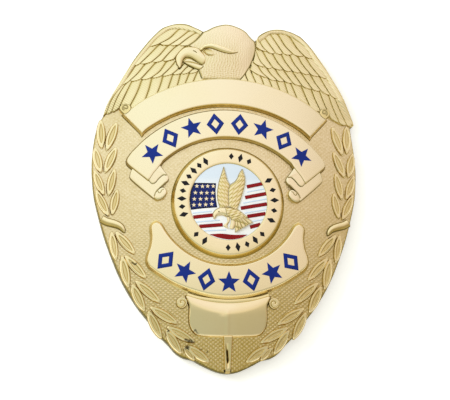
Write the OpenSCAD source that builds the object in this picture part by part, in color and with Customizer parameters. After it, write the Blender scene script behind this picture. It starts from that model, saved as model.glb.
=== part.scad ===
// Shield badge for a uniform: die-struck brass with a domed face, an eagle head between two raised wings,
// three scrolls, a round seal with coloured enamel, a small plaque and a laurel wreath along both edges.
// It lies on its back: +Z is out of the face, +Y is the top of the badge, and z = 0 is the flat rim.

/* [Blank] */
// Height of the plain field over the rim plane, at the middle of the badge
crown_z = 6.0; // [4:0.1:9]
// Radius of the dome across the badge
dome_across = 104.2; // [80:0.1:300]
// Radius of the dome along the badge
dome_along = 183.4; // [120:0.1:500]
// Thickness of the struck metal under the field
wall = 1.3; // [0.8:0.1:2.5]

/* [Relief] */
// Height of the scrolls over the field
scroll_h = 1.2; // [0.4:0.05:2]
// Height of the folded scroll ends over the field
tail_h = 0.8; // [0.3:0.05:1.5]
// Height of the small plaque over the field
plaque_h = 0.9; // [0.3:0.05:1.5]
// Height of the laurel leaves over the field
leaf_h = 0.45; // [0.2:0.05:1]
// Height of the feather grooves' floor over the field
wing_h = 0.75; // [0.3:0.05:1.5]
// Height of the feathers over the field
feather_h = 1.1; // [0.4:0.05:2]
// Width of the groove between two feathers
groove_w = 0.3; // [0.15:0.05:0.6]

/* [Seal] */
// Height of the seal's middle above the badge's middle
seal_y = -2.8; // [-8:0.1:4]
// Radius of the seal
seal_r = 11.8; // [8:0.1:14]
// Height of the seal's ring over the field
seal_h = 1.1; // [0.5:0.05:2]
// Radius of the enamel picture in the seal
picture_r = 8.25; // [5:0.05:10]

/* [Enamel] */
// Depth of the sunk places that hold the enamel
enamel_d = 0.4; // [0.2:0.05:0.8]
// Thickness left out of each enamel fill, at its sides and its floor
gap = 0.03; // [0.01:0.01:0.1]
// Radius of the stars in the two scrolls
star_r = 2.45; // [1.5:0.05:2.6]
// Half width of the open lozenges in the two scrolls
lozenge_w = 1.95; // [1.2:0.05:2.2]
// Half height of the open lozenges in the two scrolls
lozenge_h = 2.5; // [1.6:0.05:2.7]

/* [Back] */
// Height of the pin above the badge's middle
pin_y = 10; // [0:0.5:16]
// Length of the pin between the middles of its two feet
pin_len = 31; // [20:0.5:36]
// Diameter of the pin wire
pin_d = 1.1; // [0.8:0.1:1.6]

/* [Hidden] */
$fn = 96;
// Opening of an open lozenge, as a share of its size
opening = 0.42;
gold = [0.88, 0.75, 0.45];
blue = [0.06, 0.19, 0.54];

// Right edge of the blank from the bottom tip up to the wing; the left edge is its mirror image.
edge = [[0, -38.35], [1.3, -38.2], [2.6, -37.85], [3.9, -37.3], [5.2, -36.68], [6.2, -36.15], [7.2, -35.6],
    [8.2, -35.35], [9.3, -35.05], [10.8, -34.1],
    [12.4, -32.3], [14.2, -30.5], [15.7, -28.4], [17.2, -26.6], [18.7, -24.7], [20.1, -22.6],
    [21.5, -20.2], [22.8, -17.6], [23.8, -15.2], [24.7, -12.9], [25.6, -10.4], [26.4, -7.8],
    [27.1, -5.2], [27.7, -2.8], [28.15, -0.5], [28.45, 2.4], [28.6, 5.2], [28.5, 8.2], [28.2, 11],
    [27.9, 13.5], [27.5, 16.3]];
wing_top_l = [[-26.3, 16.8], [-25.5, 19.2], [-23.8, 22.4], [-21.7, 26.1], [-20.1, 28.9], [-18.5, 31.3],
    [-16.3, 34.2], [-14.1, 36.6], [-13, 37.3], [-11.9, 37.7], [-10.8, 38], [-9.7, 38.1], [-8.6, 38],
    [-7.6, 37.7], [-6.5, 37.1], [-5.5, 36.6], [-4.8, 36.1]];
wing_top_r = [[7.4, 35.4], [8.3, 36.2], [9.5, 36.9], [10.6, 37.3], [11.8, 37.5], [13, 37.5],
    [14.1, 37.3], [15.2, 37], [16.3, 36.5], [17.3, 35.9], [19.2, 33.7], [20.9, 31.2], [22.6, 28.6],
    [24.3, 25.6], [25.8, 22.9], [27.2, 19.7], [28.3, 17], [28.6, 15.8]];
crown = [[-4.8, 36.1], [-3.8, 36.5], [-2.7, 37.2], [-1.5, 37.7], [-0.4, 38], [0.7, 38.1], [1.8, 37.9],
    [2.9, 37.5], [3.9, 37], [4.8, 36.3], [5.4, 35.4], [6.1, 34.6], [6.6, 34.2]];

function flip(pts) = [for (i = [len(pts) - 1:-1:0]) [-pts[i].x, pts[i].y]];
function unit(v) = v / norm(v);
function left_of(v) = [-v.y, v.x];
// A line of points turned into the outline of a stroke of width w
function stroke_side(p, s) = [for (i = [0:len(p) - 1])
    let (a = p[max(i - 1, 0)], b = p[min(i + 1, len(p) - 1)]) p[i] + s * left_of(unit(b - a))];
function backward(p) = [for (i = [len(p) - 1:-1:0]) p[i]];
function stroke(p, w) = concat(stroke_side(p, w / 2), backward(stroke_side(p, -w / 2)));
// A closed outline, given the left-hand way round, moved outward by g at every side
function grow(p, g) = [for (i = [0:len(p) - 1])
    let (n = len(p), u = unit(p[i] - p[(i + n - 1) % n]), v = unit(p[(i + 1) % n] - p[i]),
        a = -left_of(u), b = -left_of(v)) p[i] + g * (a + b) / (1 + a * b)];
function star(r, k = 0.42) = [for (i = [0:9]) (i % 2 ? r * k : r) * [sin(i * 36), cos(i * 36)]];
function lozenge(w, h) = [[w, 0], [0, h], [-w, 0], [0, -h]];

// Everything under the domed face raised by h over the field
module dome(h) {
    ring = dome_along - dome_across;
    translate([0, 0, crown_z - dome_along])
        rotate([0, -90, 0])
            rotate([0, 0, -14])
                rotate_extrude(angle = 28, $fn = 360)
                    intersection() {
                        translate([ring, 0]) circle(r = dome_across + h, $fn = 720);
                        translate([dome_along - crown_z - 12, -31]) square([40, 62]);
                    }
}

// A flat shape stood up and cut off by the dome at height h
module struck(h) {
    intersection() {
        linear_extrude(height = 20) children();
        dome(h);
    }
}

// The same shape with its lower part taken away under the dome at height low
module layer(low, high) {
    difference() {
        struck(high) children();
        dome(low);
    }
}

module mirrored() {
    children();
    mirror([1, 0]) children();
}

module blank_shape() {
    polygon(concat(edge, backward(wing_top_r), backward(crown), backward(wing_top_l), flip(edge)));
}

// Leaf between two points, made of two equal arcs
module leaf(a, b, w) {
    l = norm(b - a);
    r = (l * l / 4 + w * w) / (2 * w);
    m = (a + b) / 2;
    n = left_of(unit(b - a));
    intersection() {
        translate(m + n * (r - w)) circle(r = r);
        translate(m - n * (r - w)) circle(r = r);
    }
}

// Leaves of the right spray: base, tip and half width
leaves = [[[26.6, 9.3], [26.8, 15.9], 0.93], [[25.6, 8.8], [23.4, 15.3], 1], [[26.7, 3.9], [28, 9.6], 0.93],
    [[25.9, 3.85], [23.5, 9.6], 1], [[26, -1], [28.05, 4.5], 0.85], [[25.1, -1.2], [23.8, 4.8], 0.92],
    [[24.95, -5.6], [27.65, 0.2], 0.88], [[24.3, -5.4], [23.2, 0.3], 0.9], [[24.4, -8.7], [23.3, -14.9], 0.85],
    [[23.6, -8.8], [19.4, -13.8], 0.97], [[22.2, -13.9], [20.7, -20.6], 0.97],
    [[21.6, -13.9], [17, -18.95], 0.97], [[20.1, -19.8], [17.3, -25.6], 0.97],
    [[19.4, -19.2], [14, -24], 0.97], [[16.7, -25.4], [13.8, -31.2], 0.92],
    [[16.3, -24.7], [10.4, -28.3], 0.97], [[13, -29.3], [9.7, -34.3], 0.92],
    [[12.8, -28.8], [6.8, -32.1], 0.97], [[8.6, -32.7], [3.8, -36.1], 0.97], [[9.3, -33], [6.9, -35.6], 0.6]];
tie = [[27, -6.2], [25.3, -7], [24, -7.3], [22.9, -7.65], [22.2, -8.1], [21.75, -8.75]];

module laurel_shape() {
    for (s = leaves) leaf(s[0], s[1], s[2]);
}

module upper_scroll_shape() {
    intersection() {
        difference() {
            translate([0, -9.9]) circle(r = 34.8);
            translate([0, -9.7]) circle(r = 28.5);
        }
        polygon([[-14, 7.2], [-27.3, 23.4], [-27.3, 40], [27.3, 40], [27.3, 23.4], [14, 7.2]]);
    }
    translate([21.9, 18.1]) circle(r = 0.95);
    translate([-21.9, 18.1]) circle(r = 0.95);
}

module middle_scroll_shape() {
    intersection() {
        difference() {
            translate([0, -8.95]) circle(r = 26.5);
            translate([0, -8.5]) circle(r = 19.8);
        }
        polygon([[-14.1, 4.6], [-15.7, 1.2], [-16.3, 1], [-21.3, 5.2], [-21.7, 5.9], [-21.6, 6.6],
            [-23, 20], [23, 20], [21.6, 6.6], [21.7, 5.9], [21.3, 5.2], [16.3, 1], [15.7, 1.2], [14.1, 4.6]]);
    }
}

tail = [[20.2, 5.2], [20.4, 3.2], [20.1, 2.4], [16.3, -1.2], [15.4, -2.2], [14.6, -2.55], [13.5, -2.2],
    [12.8, -1.3], [12.7, -0.3], [13.3, 0.6], [15.5, 1.6], [17.5, 4]];
fold = [[15.6, 6], [14.2, 4.9], [12.9, 3.4], [12.4, 2.4], [12.6, 1.5], [13.9, 0.2], [14.6, 0.4], [15.5, 0.9],
    [16.4, 1.3], [17.5, 3]];

lower_end = [[13.3, -9], [14.2, -8], [14.8, -7.3], [15.3, -7.2], [15.8, -7.5], [16.1, -8.2], [16.15, -9.1],
    [15.9, -10.9], [15.95, -11.9], [16.35, -13.5], [16.95, -15.4], [16.95, -16.4], [16.2, -17.5]];

module lower_scroll_shape() {
    intersection() {
        difference() {
            translate([0, -1.55]) circle(r = 22.2);
            translate([0, -0.8]) circle(r = 15.75);
        }
        polygon(concat(flip(backward(lower_end)), [[-16, -30], [16, -30]], backward(lower_end)));
    }
}

plaque = [[8.2, -21.5], [8.15, -25], [8.4, -27.2], [8.35, -28.5], [8, -29.5], [7.1, -30.4], [5.8, -30.95],
    [0, -31.35]];

module plaque_shape() {
    polygon(concat(flip(backward(plaque)), backward(plaque)));
    mirrored() translate([9.3, -23.9]) circle(r = 1.15);
}

// Feather lines of the two wings, each from the tip of the feather towards its root
lines_l = [[[-16.3, 32.7], [-14.2, 32.9], [-9.8, 32.9], [-6.6, 32.7]], [[-14.2, 33.4], [-12, 34.6], [-9.8, 37.2]],
    [[-12, 32.9], [-9.8, 34.6], [-7.6, 36.7]], [[-9.8, 33.1], [-8.1, 34.6], [-6.1, 36.2]],
    [[-19.6, 28.4], [-17.4, 28.9], [-14.9, 28.9], [-13.6, 29.1], [-12.1, 29.1], [-10.8, 29.7]],
    [[-19.6, 28.7], [-17.8, 31], [-16.3, 32.7]], [[-18.5, 28.6], [-16.3, 30.8], [-14.6, 32.5]],
    [[-15.9, 29], [-14.2, 30.5], [-12.4, 32.6]], [[-13.6, 29.2], [-12, 31.2], [-10.5, 32.7]],
    [[-22.1, 23.9], [-20.2, 24.5], [-18.1, 24.8], [-16, 25.1], [-13.6, 25.4], [-11, 25.8], [-7.2, 26.3]],
    [[-20.7, 24.6], [-18.9, 26.3], [-17.4, 28.3]], [[-18.3, 24.8], [-16.4, 27.1], [-14.9, 28.8]],
    [[-16, 25.2], [-14.2, 26.6], [-12.7, 29]], [[-13.8, 25.6], [-12.1, 27.3], [-11, 28.8]],
    [[-11.5, 25.9], [-9.1, 28.3]], [[-9.4, 26.1], [-7.6, 27.9]],
    [[-24.7, 19.4], [-22.1, 23.8]], [[-22.8, 19.3], [-21.3, 21.6], [-20.2, 24.3]],
    [[-20.9, 19], [-19.2, 21.5], [-18.1, 24.6]], [[-17.3, 20.3], [-16.6, 22.4], [-16, 25]],
    [[-14.9, 21.4], [-13.6, 25.2]], [[-12.6, 22.3], [-11.5, 25.5]], [[-10.6, 22.9], [-9.9, 25.6]],
    [[-8.6, 23.5], [-7.6, 25.9]]];
lines_r = [[[8.1, 31.6], [9.9, 31.5], [12.2, 31.5], [14, 31.5], [15.8, 31.6], [17.9, 31.6], [19.9, 31.1]],
    [[9.9, 31.7], [8.6, 33.2], [7.9, 34.6]], [[11.5, 31.7], [10, 33.6], [8.9, 35.7]],
    [[13.3, 31.7], [11.6, 34.2], [10.4, 36.4]], [[15.1, 31.9], [13.4, 34.3], [12.3, 36.6]],
    [[17.9, 31.8], [16.2, 33.8], [15, 36.1]],
    [[7.8, 28.3], [10, 28.2], [12.4, 27.8], [14.7, 27.6], [17, 27.4], [19.2, 27], [22.4, 26.5]],
    [[10, 28.4], [8.6, 31.6]], [[12.5, 27.9], [10.1, 31.5]], [[14.7, 27.7], [12.2, 31.4]],
    [[17, 27.6], [14.2, 31.4]], [[19.2, 27.2], [16.3, 31.5]], [[21.1, 27], [18.1, 31.4]],
    [[7.9, 26.3], [9.7, 25.6], [11.9, 25.1], [14.1, 24.5], [16.3, 23.9], [18.2, 23.5], [20.4, 22.9], [24.6, 22.1]],
    [[10.8, 25.5], [8.9, 28.1]], [[12.8, 25], [10.6, 27.9]], [[14.6, 24.6], [12.4, 27.7]],
    [[16.6, 24], [14.5, 27.5]], [[18.8, 23.5], [16.7, 27.2]], [[20.9, 23], [19, 26.9]],
    [[22.8, 22.6], [21.1, 26.6]], [[12, 22.8], [11.2, 25.2]], [[14, 22], [13, 24.7]],
    [[16, 21.2], [14.7, 24.2]], [[18.2, 20.2], [16.6, 23.7]], [[20.9, 19], [18.8, 23.3]],
    [[22.9, 18.5], [20.8, 22.8]], [[26.4, 16.9], [24.8, 19], [23, 22.3]]];
wing_in_l = [[-4.9, 34.8], [-5.9, 32.8], [-5.7, 27.5], [-5, 24], [-8, 21.8], [-15, 19], [-22.4, 16.6], [-24.3, 17.4]];
wing_in_r = [[6.7, 32.3], [6.4, 30.8], [5.3, 27.6], [6, 24], [8, 22], [15, 19], [21, 16.6], [24.3, 16.8],
    [25.2, 15.9]];

module wing_shape() {
    polygon(concat(backward(wing_top_l), [[-25.5, 17.4]], backward(wing_in_l)));
    polygon(concat(wing_top_r, backward(wing_in_r)));
}

module feather_shape() {
    difference() {
        wing_shape();
        for (p = concat(lines_l, lines_r)) polygon(stroke(p, groove_w));
    }
}

head = [[-5.2, 23.6], [-5.8, 26.2], [-5.6, 27.4], [-5.1, 28.2], [-4.8, 29.5], [-5.2, 31], [-5.9, 31.6],
    [-6.1, 32.6], [-6, 34], [-5.7, 35.3]];
neck = [[6.7, 32.3], [6.4, 30.8], [5.4, 28.3], [4.7, 27.1], [3.3, 25.1], [3, 23.6]];
beak = [[-5.4, 31.8], [-6.8, 32.2], [-7.8, 32.3], [-8.9, 32.1], [-10, 31.5], [-10.7, 30.6], [-11, 29.3],
    [-10.8, 27.9], [-9.9, 26.9], [-9.6, 28.3], [-9.2, 29], [-8.5, 29.5], [-7.2, 29.2], [-5.7, 28.1], [-4.8, 28],
    [-4.5, 29.5], [-4.8, 31]];
jaw = [[-5.2, 28.2], [-6.6, 28.5], [-8, 29.2], [-9, 28.6], [-7.9, 27.6], [-6.6, 26.9], [-5.4, 26.6],
    [-4.6, 27.4]];
brow = [[-6, 31.4], [-5, 32.1], [-3.9, 32.7], [-2.6, 32.7], [-1.3, 32.3], [0, 31.8], [1.3, 31.4], [2.6, 31.3],
    [2.1, 30.7], [0.8, 30.6], [-0.9, 31], [-2.4, 31.5], [-4, 31.5], [-5.1, 31]];

module eagle_head() {
    struck(1.6) polygon(concat(crown, neck, head));
    // swelling of the skull
    intersection() {
        translate([0.6, 31.6, 1]) cylinder(h = 10, r = 5.7);
        translate([0.6, 31.2, -7.3]) sphere(r = 13.2);
    }
    struck(2.1) polygon(beak);
    struck(1.7) polygon(jaw);
    struck(3) polygon(brow);
    struck(2.5) translate([-3.3, 30.55]) circle(r = 0.85);
}

// Ornaments in blue enamel: where each one stands, how far it is turned, and its kind
upper_places = [[-16, 7.7, 39, 0], [-12.2, 11, 28, 1], [-7.6, 13.3, 17, 0], [-2.6, 14.25, 6, 1],
    [2.6, 14.25, -6, 1], [7.6, 13.3, -17, 0], [12.2, 11, -28, 1], [16, 7.7, -39, 0]];
lower_places = [[-13.2, -15.3, -43, 1], [-9.2, -17.7, -28, 0], [-4.7, -19.3, -14, 1], [0, -19.9, 0, 0],
    [4.7, -19.3, 14, 1], [9.2, -17.7, 28, 0], [13.2, -15.3, 43, 1]];

module ornament(kind, g) {
    if (kind == 0) polygon(star(star_r + 1.4 * g));
    if (kind == 1) difference() {
        polygon(lozenge(lozenge_w + 1.3 * g, lozenge_h + 1.6 * g));
        polygon(lozenge(opening * lozenge_w - 1.3 * g, opening * lozenge_h - 1.6 * g));
    }
}

module ornaments(places, g) {
    for (p = places) translate([p[0], p[1]]) rotate(p[2]) ornament(p[3], g);
}

// Seal, drawn about its own middle
mark_angles = [197, 187, 177, 167, 157, 147.5, 138, 128.5, 119, 86, 74.5, 63, 29, 16, 3, -10, -23, 226, 239,
    269, 281, 293, 304.5, 316];
canton = [[-7.7, 4.1], [-8.3, 0.5], [-7.9, -1.7], [-2.7, -1.3], [-3.1, 1.3], [-2.8, 3.9]];
stripes = [[[3.7, 3.35], [7.1, 4.1]], [[3.5, 1], [8, 2]], [[2.3, -1.3], [8, -0.1]], [[3.7, -2.9], [7.5, -2.3]],
    [[4.4, -5.4], [6.6, -4.8]], [[-7.4, -3.4], [-3.7, -3]], [[-5.9, -5.5], [-1.8, -5.1]]];
crescent = [[-4, -6.95], [-2, -7.65], [0, -8], [2, -7.6], [3.9, -6.85], [2, -6.95], [0, -7.05], [-2, -6.95]];
bird = [[-1, 7.3], [-2.1, 5], [-2.5, 2.2], [-2.2, 0], [-1.4, -1.4], [-2.9, -1.9], [-3.1, -2.6], [-2.4, -2.9],
    [-1.2, -2.6], [-0.6, -3.4], [-1.6, -4.4], [-0.4, -5.4], [0.4, -4.6], [1.6, -5.2], [1.9, -6.2], [3.3, -5.5],
    [5, -4.5], [3.6, -3.4], [2.6, -2.4], [1.9, -1.4], [2.8, 0.6], [3.3, 3.2], [2.9, 7], [1.8, 5.2], [0.9, 4.1],
    [0, 4.3], [-0.6, 5.4]];
little_stars = [for (i = [0:3], j = [0:3]) [-6.8 + i * 1.14 - j * 0.17, 3.3 - j * 1.35]];

module marks(g) {
    for (i = [0:len(mark_angles) - 1]) rotate(mark_angles[i] - 90) translate([0, 9.85])
        polygon(lozenge(0.58 + g, (i % 2 ? 0.78 : 1.08) + 1.4 * g));
}

module stripes_shape(g) {
    for (s = stripes) polygon(grow(backward(stroke(s, 0.75)), g));
    polygon(grow(crescent, g));
}

module at_seal() {
    translate([0, seal_y]) children();
}

module wings() {
    struck(wing_h) wing_shape();
    struck(feather_h) feather_shape();
    struck(feather_h + 0.3) {
        polygon(concat(wing_top_l, backward(stroke_side(wing_top_l, -0.7))));
        polygon(concat(wing_top_r, backward(stroke_side(wing_top_r, -0.7))));
    }
}

module scrolls() {
    struck(scroll_h) {
        upper_scroll_shape();
        lower_scroll_shape();
    }
    struck(scroll_h - 0.05) middle_scroll_shape();
    struck(tail_h) mirrored() polygon(tail);
    struck(tail_h + 0.2) mirrored() polygon(fold);
    struck(plaque_h) plaque_shape();
    struck(0.7) polygon([[-0.95, -31], [-0.7, -37.8], [0.7, -37.8], [0.95, -31]]);
}

module laurel() {
    struck(leaf_h) mirrored() laurel_shape();
    struck(leaf_h + 0.2) mirrored() polygon(stroke(tie, 1.1));
}

module shield_body() {
    color(gold) difference() {
        union() {
            struck(0) blank_shape();
            laurel();
            wings();
            eagle_head();
            scrolls();
        }
        hollow();
        layer(scroll_h - enamel_d, scroll_h + 1) {
            ornaments(upper_places, gap);
            ornaments(lower_places, gap);
        }
        layer(-0.3, 3) at_seal() circle(r = seal_r + gap);
        // groove down the stem
        layer(0.35, 3) polygon([[-0.45, -33], [-0.15, -37.2], [0.1, -36], [0.2, -33.4], [-0.1, -32.3]]);
    }
}

// The hollow back, which leaves a flat rim about two millimetres wide
module hollow() {
    inner = [[0, -36.2], [4, -35], [9.2, -32.9], [12.2, -29.8], [15.6, -25.4], [19.6, -19.2], [22.7, -12.5],
        [25.1, -5], [26.2, 0.5], [26.6, 5], [26.2, 10.5], [25, 16], [22.5, 21], [18, 28], [13, 33], [7, 34.5]];
    translate([0, 0, -1])
        intersection() {
            linear_extrude(height = 20) polygon(concat(inner, flip(inner)));
            translate([0, 0, 1]) dome(-wall);
        }
}

module seal_disc() {
    color(gold) difference() {
        layer(-0.3 + gap, seal_h + 0.15) at_seal() circle(r = seal_r);
        layer(seal_h, 3) at_seal() circle(r = seal_r - 0.45);
        layer(seal_h - enamel_d, 3) at_seal() difference() {
            circle(r = picture_r);
            polygon(backward(bird));
            for (p = little_stars) translate(p) polygon(star(0.55));
        }
        layer(seal_h - enamel_d, 3) at_seal() marks(gap);
    }
}

module seal_sky() {
    color([0.85, 0.91, 0.98])
        layer(seal_h - enamel_d + gap, seal_h - 0.05) at_seal() difference() {
            circle(r = picture_r - gap);
            polygon(grow(bird, gap));
            polygon(grow(canton, gap));
            stripes_shape(gap);
        }
}

module seal_stripes() {
    color([0.55, 0.03, 0.04])
        layer(seal_h - enamel_d + gap, seal_h - 0.03) at_seal() difference() {
            intersection() {
                stripes_shape(0);
                circle(r = picture_r - gap);
            }
            polygon(grow(bird, gap));
        }
}

module seal_canton() {
    color(blue)
        layer(seal_h - enamel_d + gap, seal_h - 0.03) at_seal() difference() {
            intersection() {
                polygon(canton);
                circle(r = picture_r - gap);
            }
            for (p = little_stars) translate(p) polygon(star(0.55 + 1.4 * gap));
            polygon(grow(bird, gap));
        }
}

module seal_marks() {
    color([0.09, 0.09, 0.11])
        layer(seal_h - enamel_d + gap, seal_h - 0.03) at_seal() marks(0);
}

module blue_upper() {
    color(blue) layer(scroll_h - enamel_d + gap, scroll_h - 0.03) ornaments(upper_places, 0);
}

module blue_lower() {
    color(blue) layer(scroll_h - enamel_d + gap, scroll_h - 0.03) ornaments(lower_places, 0);
}

// Pin with its joint foot and catch foot, one plain piece inside the hollow back
module pin_clasp() {
    color([0.75, 0.7, 0.55]) {
        for (s = [-1, 1])
            intersection() {
                translate([s * pin_len / 2 - 2, pin_y - 2.2, 0.5]) cube([4, 4.4, 8]);
                dome(-wall - gap);
            }
        translate([-pin_len / 2, pin_y, 1.25]) rotate([0, 90, 0]) cylinder(h = pin_len, d = pin_d);
    }
}

shield_body();
seal_disc();
seal_sky();
seal_stripes();
seal_canton();
seal_marks();
blue_upper();
blue_lower();
pin_clasp();
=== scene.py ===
"""Shield badge for a uniform, lying face up: a domed, die-struck brass blank in bright gold plate with an
eagle's head and two wings, three scrolls, a round seal in resin enamel, a small plaque, a laurel wreath and
a pin behind. Shapes are worked out in millimetres in the badge's own frame: +X right, +Y towards the top,
+Z out of the face. Relief is given as a lift, its height over the domed field."""

import bmesh
import bpy
import numpy as np
from mathutils import Matrix


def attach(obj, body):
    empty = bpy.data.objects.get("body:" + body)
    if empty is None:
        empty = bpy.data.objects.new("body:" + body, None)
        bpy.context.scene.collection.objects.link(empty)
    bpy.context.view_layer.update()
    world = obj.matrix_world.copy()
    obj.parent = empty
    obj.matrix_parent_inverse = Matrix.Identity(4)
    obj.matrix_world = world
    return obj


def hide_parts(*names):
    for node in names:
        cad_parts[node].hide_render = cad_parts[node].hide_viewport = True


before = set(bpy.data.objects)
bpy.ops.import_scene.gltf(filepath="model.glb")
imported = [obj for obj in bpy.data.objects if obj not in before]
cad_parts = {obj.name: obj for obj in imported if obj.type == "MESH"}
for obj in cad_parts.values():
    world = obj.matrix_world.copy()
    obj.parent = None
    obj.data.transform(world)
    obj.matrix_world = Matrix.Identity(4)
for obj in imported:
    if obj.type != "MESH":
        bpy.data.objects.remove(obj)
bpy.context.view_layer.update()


# Struck blank
# One brass sheet pressed to a shallow dome and trimmed to the shield's outline, hollow behind a flat rim.
# The die stipples its whole field with fine pebbles in slanting rows, and bright gold plate covers it.

MM = 0.001
CROWN = 6.0            # mm from the rim's plane to the field, at the middle of the badge
ACROSS = 104.2         # mm, radius of the dome from side to side
ALONG = 183.4          # mm, radius of the dome from top to bottom
WALL = 1.3             # mm, thickness of the sheet
ROUNDED = 0.4          # mm, width of the rounded edge round the face
PEBBLE_PITCH = 0.63    # mm between the rows of the stipple
PEBBLE_SLANT = 51      # degrees that its two sets of rows lean
PEBBLE_HEIGHT = 0.055  # mm
BAND = 2 * np.pi / 20  # from band to band of a wave texture whose scale is 1


def field_height(x, y, lift=0.0):
    """Height of the dome at x, y: an arc of radius ACROSS + lift swung along an arc of radius ALONG."""
    swung = ALONG - ACROSS + np.sqrt((ACROSS + lift) ** 2 - x**2)
    return CROWN - ALONG + np.sqrt(swung**2 - y**2)


def smooth_line(points, count):
    """Evenly spaced points of the smooth curve through the given ones: each span is the cubic whose tangent
    at a point is half the chord between the point's two neighbours."""
    p = np.asarray(points, float)
    p = np.vstack([2 * p[0] - p[1], p, 2 * p[-1] - p[-2]])
    a, b, c, d = (p[i : len(p) - 3 + i, None, :] for i in range(4))
    t = np.linspace(0, 1, 16, endpoint=False)[None, :, None]
    spans = (b + (c - a) * t / 2 + (2 * a - 5 * b + 4 * c - d) * t**2 / 2
             + (3 * b - a - 3 * c + d) * t**3 / 2)
    return even_line(np.vstack([spans.reshape(-1, 2), p[-2]]), count)


def even_line(points, count):
    """Points spaced evenly by length along the straight pieces between the given ones."""
    p = np.asarray(points, float)
    run = np.concatenate([[0], np.cumsum(np.hypot(*np.diff(p, axis=0).T))])
    at = np.linspace(0, run[-1], count)
    return np.column_stack([np.interp(at, run, p[:, 0]), np.interp(at, run, p[:, 1])])


def other_side(points):
    """The mirror image of a line of points across the badge's middle, run the other way."""
    return (np.asarray(points, float) * [-1, 1])[::-1]


def outward(loop):
    """Unit normals that point out of a closed loop of points, longer at its corners as a mitre is."""
    ahead = np.roll(loop, -1, 0) - loop
    ahead /= np.maximum(np.hypot(*ahead.T), 1e-9)[:, None]
    behind = np.roll(ahead, 1, 0)
    normal = np.column_stack([ahead[:, 1] + behind[:, 1], -ahead[:, 0] - behind[:, 0]])
    normal /= np.maximum(1 + np.sum(ahead * behind, 1), 0.6)[:, None]
    x, y = loop.T
    turn = np.sum(x * np.roll(y, -1) - y * np.roll(x, -1))
    return normal * np.sign(turn)


def grid_faces(rows, columns, closed_rows=False, closed_columns=False):
    """Four-cornered faces between neighbours of a grid of points, joined round where it is closed."""
    r = np.arange(rows if closed_rows else rows - 1)[:, None]
    c = np.arange(columns if closed_columns else columns - 1)[None, :]
    up, across = (r + 1) % rows, (c + 1) % columns
    corners = [r * columns + c, r * columns + across, up * columns + across, up * columns + c]
    return np.stack(np.broadcast_arrays(*corners), -1).reshape(-1, 4)


def linear(hex_colour):
    """sRGB hex to linear light."""
    value = np.array([int(hex_colour[i : i + 2], 16) for i in (1, 3, 5)]) / 255
    light = np.where(value < 0.04045, value / 12.92, ((value + 0.055) / 1.055) ** 2.4)
    return (*light, 1.0)


def add_node(tree, kind, sockets=None, **settings):
    """Adds a node, sets its properties, and sets or links its input sockets."""
    made = tree.nodes.new(kind)
    for name, value in settings.items():
        setattr(made, name, value)
    for name, value in (sockets or {}).items():
        if isinstance(value, bpy.types.NodeSocket):
            tree.links.new(value, made.inputs[name])
        else:
            made.inputs[name].default_value = value
    return made


def new_finish(name, **constants):
    """A material with one Principled shader, whose constant sockets are set directly."""
    made = bpy.data.materials.new(name)
    made.use_nodes = True
    shader = made.node_tree.nodes["Principled BSDF"]
    for socket, value in constants.items():
        shader.inputs[socket.replace("_", " ")].default_value = value
    return made, made.node_tree, shader


# Stains where the plate is worn, low on the left: middle and radius in mm
BLOTS = [((-8.8, -31.6), 0.55), ((-8.2, -31.75), 0.55), ((-7.5, -31.9), 0.5), ((-8.5, -33.1), 0.65),
         ((-12.6, -29.7), 0.35), ((-20.0, -15.6), 0.35), ((-19.6, -15.7), 0.35), ((-19.2, -15.8), 0.35),
         ((-6.3, -32.6), 0.35), ((-5.6, -33.3), 0.35), ((-4.3, -34.0), 0.35)]


def stains_and_dark_reflections(tree, place, colour, blots):
    """A colour turned near black at each blot, given by its middle and radius in mm: stains on the field and
    the laurel, and painted dark reflections on the mirror plaque. The blot fades out between 0.45 and 1 of
    the radius, measured from a place that noise moves by up to 0.6 mm, so its edge is ragged."""
    moved_by = 1.2 * MM
    ragged = add_node(tree, "ShaderNodeTexNoise", {"Vector": place, "Scale": 1 / (0.7 * MM), "Detail": 3.0})
    moved = add_node(tree, "ShaderNodeVectorMath", {
        0: ragged.outputs["Color"], 1: (moved_by,) * 3, 2: place}, operation="MULTIPLY_ADD")
    for (x, y), radius in blots:
        middle = np.array([x, y, field_height(x, y, 0.3)]) * MM + moved_by / 2
        away = add_node(tree, "ShaderNodeVectorMath", {
            0: moved.outputs[0], 1: middle}, operation="DISTANCE")
        blot = add_node(tree, "ShaderNodeMapRange", {
            "Value": away.outputs["Value"], "From Min": 0.45 * radius * MM, "From Max": radius * MM,
            "To Min": 0.85, "To Max": 0.0})
        darkened = add_node(tree, "ShaderNodeMix", {
            "Factor": blot.outputs[0], "A": colour, "B": linear("#33240E")}, data_type="RGBA")
        colour = darkened.outputs["Result"]
    return colour


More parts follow.
